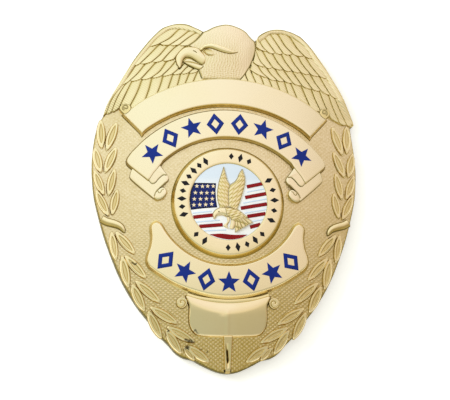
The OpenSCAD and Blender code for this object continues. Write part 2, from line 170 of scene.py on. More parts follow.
def gilt_finish(name, tones, polish, dull, grain, grain_height, blots=()):
    """Gold plate on struck brass. A shade attribute on the mesh runs from 0 on an open face, over 0.5 on a
    side wall, to 1 in the angle at the wall's foot: it picks the colour between three tones, so that the
    walls' deeper gold is a painted reflection and the dark angle at their foot is painted shade, and it
    picks the roughness between polish and dull. grain and grain_height are the size and the height in mm of
    the finest texture."""
    made, tree, shader = new_finish(name, Metallic=1.0)
    place = add_node(tree, "ShaderNodeTexCoord").outputs["Object"]
    patina = add_node(tree, "ShaderNodeAttribute", attribute_name="patina").outputs["Fac"]
    cloud = add_node(tree, "ShaderNodeTexNoise", {"Vector": place, "Scale": 1 / (9 * MM), "Detail": 3.0})
    speck = add_node(tree, "ShaderNodeTexNoise", {
        "Vector": place, "Scale": 1 / (grain * MM), "Detail": 2.0})
    tint = add_node(tree, "ShaderNodeMapRange", {
        "Value": cloud.outputs["Fac"], "From Min": 0.3, "From Max": 0.7, "To Min": -0.04, "To Max": 0.06})
    depth = add_node(tree, "ShaderNodeMath", {
        0: patina, 1: tint.outputs[0]}, operation="ADD", use_clamp=True)
    ramp = add_node(tree, "ShaderNodeValToRGB", {"Fac": depth.outputs[0]})
    stops = ramp.color_ramp.elements
    stops[0].color, stops[1].color = linear(tones[0]), linear(tones[2])
    stops.new(0.5).color = linear(tones[1])
    colour = ramp.outputs["Color"]
    if blots:
        colour = stains_and_dark_reflections(tree, place, colour, blots)
    rough = add_node(tree, "ShaderNodeMapRange", {
        "Value": depth.outputs[0], "From Min": 0.0, "From Max": 1.0, "To Min": polish, "To Max": dull})
    bump = add_node(tree, "ShaderNodeBump", {
        "Height": speck.outputs["Fac"], "Strength": 1.0, "Distance": grain_height * MM})
    tree.links.new(colour, shader.inputs["Base Color"])
    tree.links.new(rough.outputs[0], shader.inputs["Roughness"])
    tree.links.new(bump.outputs[0], shader.inputs["Normal"])
    return made, tree, shader, place, bump, ramp


def deepen(tree, ramp, amount):
    """Adds an amount, a share from 0 to 1 on a socket, to what picks a finish's tone."""
    before = ramp.inputs["Fac"].links[0].from_socket
    total = add_node(tree, "ShaderNodeMath", {0: before, 1: amount}, operation="ADD")
    tree.links.new(total.outputs[0], ramp.inputs["Fac"])


def piece(name, parts, finish, stands_for=()):
    """One mesh from parts of (points in mm, four-cornered faces, painted shade and tone). Points that meet
    are merged and faces turned outward; a face is smooth and an edge sharper than 45 degrees stays crisp."""
    start = np.cumsum([0] + [len(p) for p, _, _ in parts])
    points = np.vstack([p for p, _, _ in parts]) * MM
    faces = np.vstack([f + s for (_, f, _), s in zip(parts, start)])
    mesh = bpy.data.meshes.new(name)
    mesh.from_pydata(points, [], faces)
    patina = mesh.attributes.new("patina", "FLOAT", "POINT")
    patina.data.foreach_set("value", np.concatenate([np.broadcast_to(t, len(p)) for p, _, t in parts]))
    shape = bmesh.new()
    shape.from_mesh(mesh)
    bmesh.ops.remove_doubles(shape, verts=shape.verts, dist=2e-6)
    bmesh.ops.dissolve_degenerate(shape, edges=shape.edges, dist=1e-7)
    bmesh.ops.recalc_face_normals(shape, faces=shape.faces)
    shape.to_mesh(mesh)
    shape.free()
    mesh.shade_smooth()
    mesh.set_sharp_from_angle(angle=np.radians(45))
    mesh.materials.append(finish)
    made = bpy.data.objects.new(name, mesh)
    bpy.context.scene.collection.objects.link(made)
    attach(made, "root")
    if stands_for:
        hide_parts(*stands_for)


# The outline, from the foot up each side and over the wings and the head, and the hollow's edge
right_edge = [(0, -38.35), (1.3, -38.2), (2.6, -37.85), (3.9, -37.3), (5.2, -36.68), (6.2, -36.15),
              (7.2, -35.6), (8.2, -35.35), (9.3, -35.05), (10.8, -34.1), (12.4, -32.3), (14.2, -30.5),
              (15.7, -28.4), (17.2, -26.6), (18.7, -24.7), (20.1, -22.6), (21.5, -20.2), (22.8, -17.6),
              (23.8, -15.2), (24.7, -12.9), (25.6, -10.4), (26.4, -7.8), (27.1, -5.2), (27.7, -2.8),
              (28.15, -0.5), (28.45, 2.4), (28.6, 5.2), (28.5, 8.2), (28.2, 11), (27.9, 13.5), (27.7, 15.5)]
left_edge = right_edge[:-2] + [(27.85, 13.0), (27.4, 14.6), (26.85, 15.75), (26.3, 16.8)]
left_wing_top = [(-26.3, 16.8), (-25.5, 19.2), (-23.8, 22.4), (-21.7, 26.1), (-20.1, 28.9), (-18.5, 31.3),
                 (-16.3, 34.2), (-14.1, 36.6), (-13, 37.3), (-11.9, 37.7), (-10.8, 38), (-9.7, 38.1),
                 (-8.6, 38), (-7.6, 37.7), (-6.5, 37.1), (-5.5, 36.6), (-4.8, 36.1)]
crown = [(-4.8, 36.1), (-3.8, 36.5), (-2.7, 37.2), (-1.5, 37.7), (-0.4, 38), (0.7, 38.1), (1.8, 37.9),
         (2.9, 37.5), (3.9, 37), (4.8, 36.3), (5.4, 35.4), (6.1, 34.6), (6.6, 34.2)]
right_wing_top = [(7.4, 35.4), (8.3, 36.2), (9.5, 36.9), (10.6, 37.3), (11.8, 37.5), (13, 37.5),
                  (14.1, 37.3), (15.2, 37), (16.3, 36.5), (17.3, 35.9), (19.2, 33.7), (20.9, 31.2),
                  (22.6, 28.6), (24.3, 25.6), (25.8, 22.9), (27.2, 19.7), (28.3, 17), (28.5, 16.1)]
hollow_edge = [(0, -36.2), (4, -35), (9.2, -32.9), (12.2, -29.8), (15.6, -25.4), (19.6, -19.2),
               (22.7, -12.5), (25.1, -5), (26.2, 0.5), (26.6, 5), (26.2, 10.5), (25, 16), (22.5, 21),
               (18, 28), (13, 33), (7, 34.5), (0, 34.6)]
shield = np.vstack([smooth_line(right_edge, 240), smooth_line(right_wing_top[::-1], 130),
                    smooth_line(crown[::-1], 60), smooth_line(left_wing_top[::-1], 130),
                    other_side(smooth_line(left_edge, 240))[1:-1]])
hollow = smooth_line(hollow_edge, 300)
hollow = np.vstack([hollow, other_side(hollow)[1:-1]])


def loop_at_angles(loop, angles):
    """Points of a closed loop about the origin, seen at the given angles."""
    seen = np.arctan2(loop[:, 1], loop[:, 0])
    reach = np.interp(angles, seen[np.argsort(seen)], np.hypot(*loop.T)[np.argsort(seen)], period=2 * np.pi)
    return np.column_stack([reach * np.cos(angles), reach * np.sin(angles)])


def blank_shell():
    """Closed skin of rings: the face from its middle outward, the rounded edge, the side down to the flat
    rim, the hollow's wall, and the hollow's vault back to the middle. A face ring is the outline times a
    share. A ring is its flat line, its height over the table or None where it follows the dome, and its
    lift. Shade is painted round the rounded edge and down the side, and the painted shade grows evenly by
    up to 0.18 towards the badge's foot."""
    turned_in = shield - ROUNDED * outward(shield)
    inner = loop_at_angles(hollow, np.arctan2(shield[:, 1], shield[:, 0]))
    rings, patina = [], []
    for share in np.linspace(0, 1, 48):
        rings.append((turned_in * share, None, 0.0))
        patina.append(0.0)
    for inset, drop, tone in [(0.25, 0.04, 0.2), (0.12, 0.12, 0.6), (0.04, 0.22, 0.8), (0.0, 0.36, 0.9)]:
        rings.append((shield - inset * outward(shield), None, -drop))
        patina.append(tone)
    for inset, height, tone in [(0.0, 0.25, 0.8), (0.07, 0.08, 0.5), (0.25, 0.0, 0.3)]:
        rings.append((shield - inset * outward(shield), height, 0.0))
        patina.append(tone)
    for inset, height, tone in [(-0.25, 0.0, 0.3), (-0.05, 0.08, 0.5), (0.0, 0.3, 0.6)]:
        rings.append((inner - inset * outward(inner), height, 0.0))
        patina.append(tone)
    for share in np.linspace(1, 0, 30):
        rings.append((inner * share, None, -WALL))
        patina.append(0.25)
    flat = np.stack([r for r, _, _ in rings])
    z = [field_height(r[:, 0], r[:, 1], lift) if height is None else np.full(len(r), height)
         for r, height, lift in rings]
    points = np.dstack([flat, np.stack(z)]).reshape(-1, 3)
    faces = grid_faces(len(rings), len(shield), closed_columns=True)
    deeper = np.clip((6 - points[:, 1] + 0.3 * points[:, 0]) / 260, 0, 0.18)
    return points, faces, np.repeat(patina, len(shield)) + deeper


def stippled_gilt():
    """The field: satin gold plate over pebbles, in rows that slant both ways, with a fine uneven grain. It
    looks matt and a little deeper than the polished faces, and the pebbles show as a fine lattice with shade
    painted between them, crisp near the badge's foot and fading to two fifths of that above."""
    made, tree, shader, place, bump, ramp = gilt_finish(
        "stippled_gilt", ("#FDEBC9", "#CAB066", "#6C6030"), 0.3, 0.5, 0.3, 0.022, BLOTS)
    rows = []
    for slant in (PEBBLE_SLANT, -PEBBLE_SLANT):
        turned = add_node(tree, "ShaderNodeMapping", {
            "Vector": place, "Rotation": (0, 0, np.radians(slant)), "Scale": (1 / MM,) * 3})
        wave = add_node(tree, "ShaderNodeTexWave", {
            "Vector": turned.outputs[0], "Scale": BAND / PEBBLE_PITCH, "Distortion": 1.6, "Detail": 2.0,
            "Detail Scale": 1.4})
        rows.append(wave.outputs["Fac"])
    height = add_node(tree, "ShaderNodeSeparateXYZ", {"Vector": place}).outputs["Y"]
    crisp = add_node(tree, "ShaderNodeMapRange", {
        "Value": height, "From Min": -32 * MM, "From Max": -8 * MM, "To Min": 1.0, "To Max": 0.4})
    pebbles = add_node(tree, "ShaderNodeMath", {0: rows[0], 1: rows[1]}, operation="MULTIPLY")
    raised = add_node(tree, "ShaderNodeMath", {
        0: pebbles.outputs[0], 1: crisp.outputs[0]}, operation="MULTIPLY")
    stipple = add_node(tree, "ShaderNodeBump", {
        "Height": raised.outputs[0], "Strength": 1.0, "Distance": PEBBLE_HEIGHT * MM,
        "Normal": bump.outputs[0]})
    # Shade is painted into the hollows between the pebbles
    pits = add_node(tree, "ShaderNodeMapRange", {
        "Value": pebbles.outputs[0], "From Min": 0.0, "From Max": 0.7, "To Min": 0.2, "To Max": 0.0})
    shade = add_node(tree, "ShaderNodeMath", {
        0: pits.outputs[0], 1: crisp.outputs[0]}, operation="MULTIPLY")
    grit = add_node(tree, "ShaderNodeTexNoise", {
        "Vector": place, "Scale": 1 / (0.4 * MM), "Detail": 2.0, "Roughness": 0.7})
    uneven = add_node(tree, "ShaderNodeMapRange", {
        "Value": grit.outputs["Fac"], "From Min": 0.32, "From Max": 0.68, "To Min": 0.0, "To Max": 0.18})
    deeper = add_node(tree, "ShaderNodeMath", {0: shade.outputs[0], 1: uneven.outputs[0]}, operation="ADD")
    deepen(tree, ramp, deeper.outputs[0])
    tree.links.new(stipple.outputs[0], shader.inputs["Normal"])
    return made


piece("blank", [blank_shell()], stippled_gilt(), ["shield_body"])


# Blank upper scroll
# The widest scroll, polished and left plain. Its lower wall is a steep, deep gold bevel, its upper edge is
# set into the wings, and each upper corner ends in a small curl.

SUNK = -0.15       # lift in mm where every raised form ends, inside the blank's metal
SCROLL_LIFT = 1.2  # mm


def arc_line(centre, radius, start, end, count):
    """Points of an arc about a centre, between two angles in degrees."""
    a = np.radians(np.linspace(start, end, count))
    return np.column_stack([centre[0] + radius * np.cos(a), centre[1] + radius * np.sin(a)])


def between_ends(middle, right_end):
    """A line with the given points at its right end and their mirror images at its left end."""
    return [*other_side(right_end), *middle, *right_end]


def patch(low, high, left, right):
    """Grid of points inside four lines that meet at their ends: the loft between the two long lines plus the
    loft between the two short ones, less the plain blend of the four corners."""
    v = np.linspace(0, 1, len(left))[:, None, None]
    u = np.linspace(0, 1, len(low))[None, :, None]
    long_way = low[None] * (1 - v) + high[None] * v
    short_way = left[:, None] * (1 - u) + right[:, None] * u
    corners = (low[0] * (1 - u) + low[-1] * u) * (1 - v) + (high[0] * (1 - u) + high[-1] * u) * v
    grid = long_way + short_way - corners
    return grid[..., 0], grid[..., 1]


def rim_of(grid):
    """The values round the border of a grid, one after the other."""
    return np.concatenate([grid[0, :-1], grid[:-1, -1], grid[-1, :0:-1], grid[:0:-1, 0]])


# Two kinds of side wall, ring by ring: step out in mm, share of the height, and painted shade, whose
# middle values paint the wall's deeper gold reflection
DRAFT = [(0.06, 0.985, 0.2), (0.12, 0.94, 0.3), (0.2, 0.84, 0.35), (0.46, 0.26, 0.35), (0.53, 0.17, 0.7),
         (0.6, 0.135, 1.0), (0.7, 0.1, 0.6)]
UPRIGHT = [(0.04, 0.97, 0.1), (0.08, 0.88, 0.3), (0.16, 0.3, 0.8), (0.22, 0.17, 1.0), (0.3, 0.12, 0.8)]


def struck_form(x, y, lift, skirt=UPRIGHT, sunk=SUNK, patina=0.0, far=0.0):
    """Closed solid over a grid of points: the face at its lift, a skirt of rings stepped outward and down
    from the border, and a floor inside the blank. A skirt ring is (step out in mm, share of the height,
    painted shade); where a wall faces sideways its steps are narrower by 38%, and painted shade over 0.25 is
    deeper by 0.3. The rounded upper edge has shade painted deeper by far where it faces the badge's top
    right."""
    lift = np.broadcast_to(np.asarray(lift, float), x.shape)
    border = np.column_stack([rim_of(x), rim_of(y)])
    normal = outward(border)
    top = rim_of(lift)
    count = len(border)
    points = [np.column_stack([x.ravel(), y.ravel(), lift.ravel()])]
    tones = [np.broadcast_to(patina, x.shape).ravel()]
    sideways = np.clip(np.abs(normal[:, 0]), 0, 1)
    beyond = np.clip(normal @ (0.5, 0.87), 0, 1)
    for step, share, tone in [(0, 1, None)] + list(skirt) + [(skirt[-1][0], 0, 0.5)]:
        ring = border + step * (1 - 0.38 * sideways)[:, None] * normal
        points.append(np.column_stack([ring, sunk + (top - sunk) * share]))
        if tone is None:
            tones.append(rim_of(np.broadcast_to(patina, x.shape)))
        else:
            side = tone + 0.3 * sideways * (tone > 0.25) + far * beyond * (share > 0.9)
            tones.append(np.minimum(side, 1.0))
    points.append(np.column_stack([x.ravel(), y.ravel(), np.full(x.size, sunk)]))
    tones.append(np.full(x.size, 0.5))
    points.append(np.column_stack([border, np.full(count, sunk)]))
    tones.append(np.full(count, 0.5))
    wall = grid_faces(len(skirt) + 2, count, closed_columns=True) + x.size
    floor_at = x.size + (len(skirt) + 2) * count
    floor = grid_faces(*x.shape) + floor_at
    hem = np.arange(count)
    last = floor_at - count
    across = np.roll(hem, -1)
    seam = floor_at + x.size
    joint = np.column_stack([last + hem, last + across, seam + across, seam + hem])
    points = np.vstack(points)
    points[:, 2] = field_height(points[:, 0], points[:, 1], points[:, 2])
    return points, np.vstack([grid_faces(*x.shape), wall, floor, joint]), np.concatenate(tones)


def wheel(outline, centre, shares, lifts, patina=0.0, sunk=SUNK):
    """Closed solid over a closed outline: rings of the outline shrunk towards a centre, each with its own
    lift in mm, from the middle out, and a floor inside the blank."""
    centre = np.asarray(centre, float)
    shares = np.asarray(shares, float)[:, None, None]
    flat = centre + (outline - centre)[None] * np.concatenate([shares, [[[shares[-1, 0, 0]]], [[0.0]]]])
    lifts = [np.broadcast_to(l, len(outline)) for l in lifts] + [np.full(len(outline), sunk)] * 2
    z = field_height(flat[..., 0], flat[..., 1], np.stack(lifts))
    tones = np.asarray(patina, float)
    tones = tones if tones.ndim == 2 else tones.reshape(-1, 1)
    tones = np.broadcast_to(tones, (len(lifts) - 2, len(outline)))
    tones = np.concatenate([tones.ravel(), np.full(2 * len(outline), 0.5)])
    faces = grid_faces(len(lifts), len(outline), closed_columns=True)
    return np.dstack([flat, z]).reshape(-1, 3), faces, tones


def ridge(path, half_width, crest, base=0.0, across=9, patina=0.0):
    """A half-round bead along a path: across it the lift is the base plus the crest times the square root
    of 1 - v squared, with v from -1 to 1 between its sides. Shade is painted darker along its sides."""
    path = np.asarray(path, float)
    ahead = np.gradient(path, axis=0)
    ahead /= np.maximum(np.hypot(*ahead.T), 1e-9)[:, None]
    side = np.column_stack([-ahead[:, 1], ahead[:, 0]]) * np.broadcast_to(half_width, len(path))[:, None]
    v = np.sin(np.linspace(-np.pi / 2, np.pi / 2, across))[:, None]
    x = path[None, :, 0] - v * side[None, :, 0]
    y = path[None, :, 1] - v * side[None, :, 1]
    lift = np.broadcast_to(base, len(path)) + np.broadcast_to(crest, len(path)) * np.sqrt(1 - v**2)
    tones = patina + 0.8 * np.broadcast_to(v**6, lift.shape)
    return struck_form(x, y, lift, skirt=[(0.02, 0.15, 1.0)], patina=tones)


def swirl(centre, radius, start, turns, lift, half_width=0.15):
    """A small golden bead wound inward: its path is a spiral about a centre, from an angle in degrees over
    some turns, anticlockwise if they are positive, and its reach falls evenly to a quarter. It is painted a
    deep gold, the shade of the groove between the curl's turns."""
    share = np.linspace(0, 1, 70)
    angle = np.radians(start) + 2 * np.pi * turns * share
    reach = radius * (1 - 0.75 * share)
    path = np.asarray(centre) + reach[:, None] * np.column_stack([np.cos(angle), np.sin(angle)])
    return ridge(path, half_width * (1 - 0.35 * share), 0.14, base=lift, patina=0.74)


# Polished gilt is buffed smooth: its faces look pale and bright; the deep gold of its walls is a painted
# reflection, and the dark olive at their foot painted shade
polished, *_ = gilt_finish("polished_gilt", ("#FCEDCB", "#FAE6AA", "#6A5820"), 0.16, 0.4, 2.2, 0.003)

upper_arc = arc_line((0, -9.9), 34.6, 119.5, 60.5, 90)[::3]
upper_high = smooth_line(between_ends(upper_arc, [(18.7, 19.15), (20.3, 17.9), (21.88, 16.65)]), 150)
upper_high = even_line(upper_high, 150)
upper_low = smooth_line(between_ends(arc_line((0, -9.7), 28.75, 127, 53, 90)[::3], [(18.1, 12.45)]), 150)
upper_side = even_line([upper_low[-1], upper_high[-1]], 16)
upper_face = patch(upper_low, upper_high, other_side(upper_side)[::-1], upper_side)
upper_curl = smooth_line([(21.75, 16.5), (22.6, 17.4), (22.9, 18.2), (22.4, 18.9), (21.5, 19.05),
                          (20.7, 18.75), (20.4, 17.9), (20.9, 17.1), (21.75, 16.5)], 90)[:-1]
upper_seam = between_ends(upper_high[12:-12:6], [(18.7, 19.15), (20.3, 17.9), (21.3, 16.95)])
upper_seam = smooth_line(upper_seam, 150)
# A thin bead painted half in shade runs where the scroll meets the wings; each curl is painted a mid gold,
# with painted shade darkest just inside its edge and round its foot
upper_scroll = [struck_form(*upper_face, SCROLL_LIFT, skirt=DRAFT),
                ridge(upper_seam, 0.09, 0.01, base=SCROLL_LIFT, patina=0.45)]
for hand in (1, -1):
    upper_scroll.append(wheel(upper_curl * [hand, 1], (21.9 * hand, 17.9),
                              [0, 0.5, 0.86, 0.93, 1.0, 1.05, 1.1], [1.3, 1.3, 1.29, 1.27, 1.15, 0.5, 0.02],
                              patina=[0.55, 0.55, 0.5, 0.95, 0.8, 0.5, 0.4]))
    upper_scroll.append(swirl((21.6 * hand, 18.2), 0.7, 90 - 150 * hand, 1.2 * hand, 1.27, 0.2))
piece("upper_scroll", upper_scroll, polished)


# Middle scroll with its ribbon ends
# A polished band that holds the upper row of blue ornaments. At each end the ribbon folds back under
# itself, comes out below as a narrower tail, and rolls up in a curl.

def loft(low, high, stations):
    """Grid of points between two lines that have the same count: row by row from the first to the second,
    at the given shares of the way."""
    share = np.asarray(stations)[:, None, None]
    grid = low[None] * (1 - share) + high[None] * share
    return grid[..., 0], grid[..., 1]


middle_end = [(14.1, 5.6), (14.9, 4.5), (15.75, 3.45), (16.3, 2.6), (16.62, 2.1), (16.85, 1.95)]
middle_tip = [(16.85, 1.95), (19.05, 3.8), (20.85, 5.4), (21.15, 5.8), (21.2, 6.25), (20.95, 6.85),
              (20.2, 7.95)]
middle_arc = arc_line((0, -8.95), 26.3, 133.5, 46.5, 100)[::3]
middle_high = smooth_line(between_ends(middle_arc, [(19.3, 8.9), (20.2, 7.95)]), 150)
middle_low = smooth_line(between_ends(arc_line((0, -8.5), 20.1, 133.5, 46.5, 100)[::3], middle_end), 150)
middle_side = even_line(np.vstack([smooth_line(middle_tip[:3], 8), smooth_line(middle_tip[2:], 10)]), 18)
middle_side[0], middle_side[-1] = middle_low[-1], middle_high[-1]
middle_face = patch(middle_low, middle_high, other_side(middle_side)[::-1], middle_side)
# The middle scroll's walls are painted a deeper olive shade than the others', and its rounded upper edge
# darker where it faces the badge's top right
olive_draft = [(0.85 * step, share, min(tone + 0.2, 1.0)) for step, share, tone in DRAFT]
middle_scroll = [struck_form(*middle_face, SCROLL_LIFT - 0.05, skirt=olive_draft, far=0.5)]

# The right end's tail, the fold in front of it, and the curl it rolls up in
# The ribbon's walls, the dips of its roll and the lines across the roll are painted in shade
RIBBON = [(0.03, 0.985, 0.5), (0.12, 0.95, 0.65), (0.16, 0.6, 0.6), (0.22, 0.2, 0.6), (0.28, 0.12, 0.4)]
tail_outer = smooth_line([(19.6, 5.2), (20.3, 4.0), (20.55, 2.95), (20.3, 2.25), (18.3, 0.35),
                          (15.6, -2.0)], 40)
tail_inner = smooth_line([(14.9, 4.9), (13.6, 3.85), (12.85, 2.95), (12.6, 2.4), (12.7, 1.9), (13.1, 1.5),
                          (13.95, 0.7), (14.95, -0.3), (15.4, -1.0)], 40)
fold_near = even_line(np.vstack([smooth_line([(14.3, 4.9), (13.6, 3.9), (12.95, 3.0)], 12),
                                 smooth_line([(12.95, 3.0), (13.7, 3.02), (14.62, 2.25), (15.4, 1.35),
                                              (16.05, 1.2), (16.6, 1.75)], 40)]), 50)
fold_far = even_line([(15.0, 5.4), (15.9, 4.0), (16.6, 2.9), (17.0, 2.3)], 50)
roll_edge = smooth_line([(15.55, -2.05), (15.0, -2.4), (14.35, -2.35), (13.6, -1.9), (13.0, -1.1),
                         (12.95, -0.5), (13.3, 0.1), (13.9, 0.3), (14.5, 0.0), (15.1, -0.6), (15.5, -1.3),
                         (15.55, -2.05)], 90)[:-1]
roll_lines = [[(13.2, 1.4), (13.83, 0.78), (14.87, -0.22), (15.32, -0.89), (15.54, -1.49)],
              [(14.88, -0.33), (14.6, -0.9), (14.23, -0.78), (13.97, -0.3), (13.58, -0.15)]]
tail = struck_form(*loft(tail_outer, tail_inner, np.linspace(0, 1, 12)), 0.66, skirt=RIBBON)
fold = struck_form(*loft(fold_far, fold_near, np.linspace(0, 1, 9)), np.linspace(1.0, 0.86, 9)[:, None],
                   skirt=[(0.03, 0.985, 0.6), (0.13, 0.95, 0.8), (0.16, 0.6, 0.8)])
roll = wheel(roll_edge, (14.2, -1.1), [0, 0.5, 0.88, 0.94, 1.0, 1.05, 1.1],
             [0.88, 0.88, 0.86, 0.82, 0.7, 0.3, 0.02], patina=[0, 0, 0, 0.7, 0.8, 0.6, 0.5])
roll_seams = [ridge(smooth_line(line, 30), 0.1, 0.02, base=0.88, patina=0.7) for line in roll_lines]


def mirrored(parts):
    """The same parts and their mirror images across the badge's middle."""
    return parts + [(points * [-1, 1, 1], faces[:, ::-1], tones) for points, faces, tones in parts]


ribbon = mirrored([tail, fold, roll, *roll_seams])
piece("middle_scroll", middle_scroll + ribbon, polished)


# Lower scroll
# A polished crescent under the seal that holds the lower row of blue ornaments; its ends rise in two horns.

horn = [(16.2, -16.4), (16.75, -15.4), (16.65, -14.2), (16.05, -12.4), (15.8, -10.3), (15.98, -8.4),
        (15.7, -7.75), (15.1, -7.5)]
horn_tip = smooth_line([(14.04, -8.26), (14.5, -7.75), (15.1, -7.5)], 8)
lower_high = even_line(between_ends(arc_line((0, -0.8), 15.9, 208, 332, 90)[1:-1], horn_tip), 140)
lower_low = smooth_line(between_ends([(0, -22.5)], [(4, -22.15), (7.95, -21.1), (11.4, -19.65),
                                                    (14.5, -17.7), (16.2, -16.4)]), 140)
horn_side = smooth_line(horn, 26)
lower_face = patch(lower_low, lower_high, other_side(horn_side)[::-1], horn_side)
broad_draft = [(1.5 * step, share, min(tone, 0.45)) for step, share, tone in DRAFT]
piece("lower_scroll", [struck_form(*lower_face, SCROLL_LIFT, skirt=broad_draft)], polished)


# Plaque with its stem
# A small mirror-polished plate that swells like a pillow, with a rolled curl at each upper corner. A stem
# with a V-shaped cut runs from it down to the badge's point.

def rolled(outline, centre, pitch, start, lift, depth, hand=1):
    """A rolled end seen from its side: a button on which a rounded bead winds inward. With r the reach from
    its centre in mm and a the share of a full turn from the start, the lift dips where r / pitch + hand a
    is whole. Shade is painted into the dips and darkest round its foot."""
    shares = np.concatenate([np.linspace(0, 0.93, 26), [0.97, 1.0, 1.05, 1.1]])
    off = (outline - centre)[None] * shares[:, None, None]
    reach = np.hypot(off[..., 0], off[..., 1])
    phase = reach / pitch + hand * (np.degrees(np.arctan2(off[..., 1], off[..., 0])) - start) / 360
    dip = np.exp(-(((phase - np.round(phase)) / 0.12) ** 2)) * np.clip(reach * 4, 0, 1)
    dip *= np.clip((reach.max() - reach) * 3, 0, 1)
    height = lift - depth * dip
    height[-4:] = lift * np.array([0.95, 0.82, 0.32, 0.02])[:, None]
    tones = 0.15 + 0.65 * dip
    tones[-4:] = np.array([0.3, 0.5, 0.9, 1.0])[:, None]
    return wheel(outline, centre, shares, height, patina=tones)


plaque_side = smooth_line([(5.0, -30.35), (6.5, -30.1), (7.35, -29.3), (7.8, -28.2), (7.9, -27),
                           (7.85, -25.5), (7.95, -24.3), (8.35, -23.35), (8.6, -22.8)], 34)
plaque_low = smooth_line(between_ends([(0, -30.45)], [(2.5, -30.42), (5.0, -30.35)]), 90)
plaque_high = smooth_line(between_ends([(0, -24.35)], [(4.5, -23.9), (8.6, -22.8)]), 90)
plaque_x, plaque_y = patch(plaque_low, plaque_high, other_side(plaque_side)[::-1], plaque_side)
# The plaque's swell is highest along a low arc and falls off above and below it; a soft crease runs down it
rise = plaque_y + 26.35 - 0.036 * plaque_x**2
fold_mark = 0.05 * np.exp(-(((plaque_x + 0.2) / 0.45) ** 2)) * np.clip(1.2 - rise, 0, 1)
fold_mark += 0.025 * np.exp(-(((plaque_x + 1.0) / 0.9) ** 2) - ((plaque_y + 27.1) / 0.8) ** 2)
plaque_lift = 0.62 - np.where(rise > 0, 0.07, 0.004) * rise**2 + fold_mark
# Mirror gilt is buffed to a gloss: its face shows the room, and the near black in the angle at its foot is
# painted shade; the two blots low on its left are a painted dark reflection
mirror_gilt, *_ = gilt_finish("mirror_gilt", ("#FCEBC4", "#E8CC84", "#33280C"), 0.06, 0.35, 2.5, 0.0006,
                              [((-7.0, -29.75), 0.45), ((-6.5, -30.1), 0.45), ((3.4, -24.75), 0.25)])
ledge_line = smooth_line(between_ends([(0, -23.72)], [(4, -23.4), (6.7, -22.95), (8.6, -22.35)]), 80)
ledge = ridge(ledge_line, 0.5, 0.1, base=0.16, patina=0.3)
# The plaque's right half is painted a little darker as a painted reflection, and its skirt darkens to
# painted shade towards its foot
plaque = struck_form(plaque_x, plaque_y, plaque_lift, skirt=[
    (0.1, 0.985, 0.0), (0.22, 0.94, 0.05), (0.34, 0.84, 0.15), (0.46, 0.5, 0.45), (0.56, 0.3, 0.55),
    (0.7, 0.2, 0.6), (0.82, 0.1, 0.45)], patina=0.05 * np.clip(plaque_x / 2, 0, 1))
# The stem's V cut: its bottom runs from the left to near the middle, and its right bank is the wider one.
# Shade is painted along the cut's bottom and on the wall round the stem's lower end
stem_x = np.array([-0.62, -0.52, -0.45, -0.38, -0.3, -0.22, -0.14, -0.06, 0.04, 0.14, 0.3, 0.46, 0.6])
stem_y = np.linspace(-37.9, -30.9, 50)
stem_x, stem_y = np.meshgrid(stem_x, stem_y)
cut = np.clip((-32.2 - stem_y) / 1.5, 0, 1) * np.clip((stem_y + 37.4) / 1.5, 0, 1)
bottom = -0.3 + 0.2 * np.clip((-33 - stem_y) / 4, 0, 1)
bank = np.where(stem_x < bottom, (bottom - stem_x) / 0.2, (stem_x - bottom) / 0.6)
stem_lift = 0.66 - 0.5 * cut * np.clip(1 - bank, 0, 1)
stem_tone = 1.2 * cut * np.clip(1.7 - np.abs(stem_x - bottom + 0.06) / 0.09, 0, 1)
stem_wall = np.where(rim_of(stem_y) < -37.6, 0.72, 0.2)
stem_skirt = [(step, share, stem_wall)
              for step, share in ((0.06, 0.97), (0.2, 0.8), (0.36, 0.3), (0.46, 0.17))]
stem = struck_form(stem_x * (0.78 + 0.075 * (stem_y + 38)), stem_y, stem_lift, skirt=stem_skirt,
                   patina=np.maximum(0.12, stem_tone))
curl_middle = np.array([9.7, -23.95])
curl_edge = arc_line(curl_middle, 1.1, 0, 360, 73)[:-1]
plaque_curls = mirrored([rolled(curl_edge, curl_middle, 0.85, 250, 0.66, 0.16, hand=-1)])
piece("plaque_and_stem", [plaque, stem], mirror_gilt)
piece("plaque_curls_and_ledge", plaque_curls + [ledge], polished)


# Wings
# Two spread wings of four rows of feathers each. Every feather is a struck blade with a rounded tip that
# lies over the roots of the next row, and fine barbs run across it. A plain bead follows the leading edge.

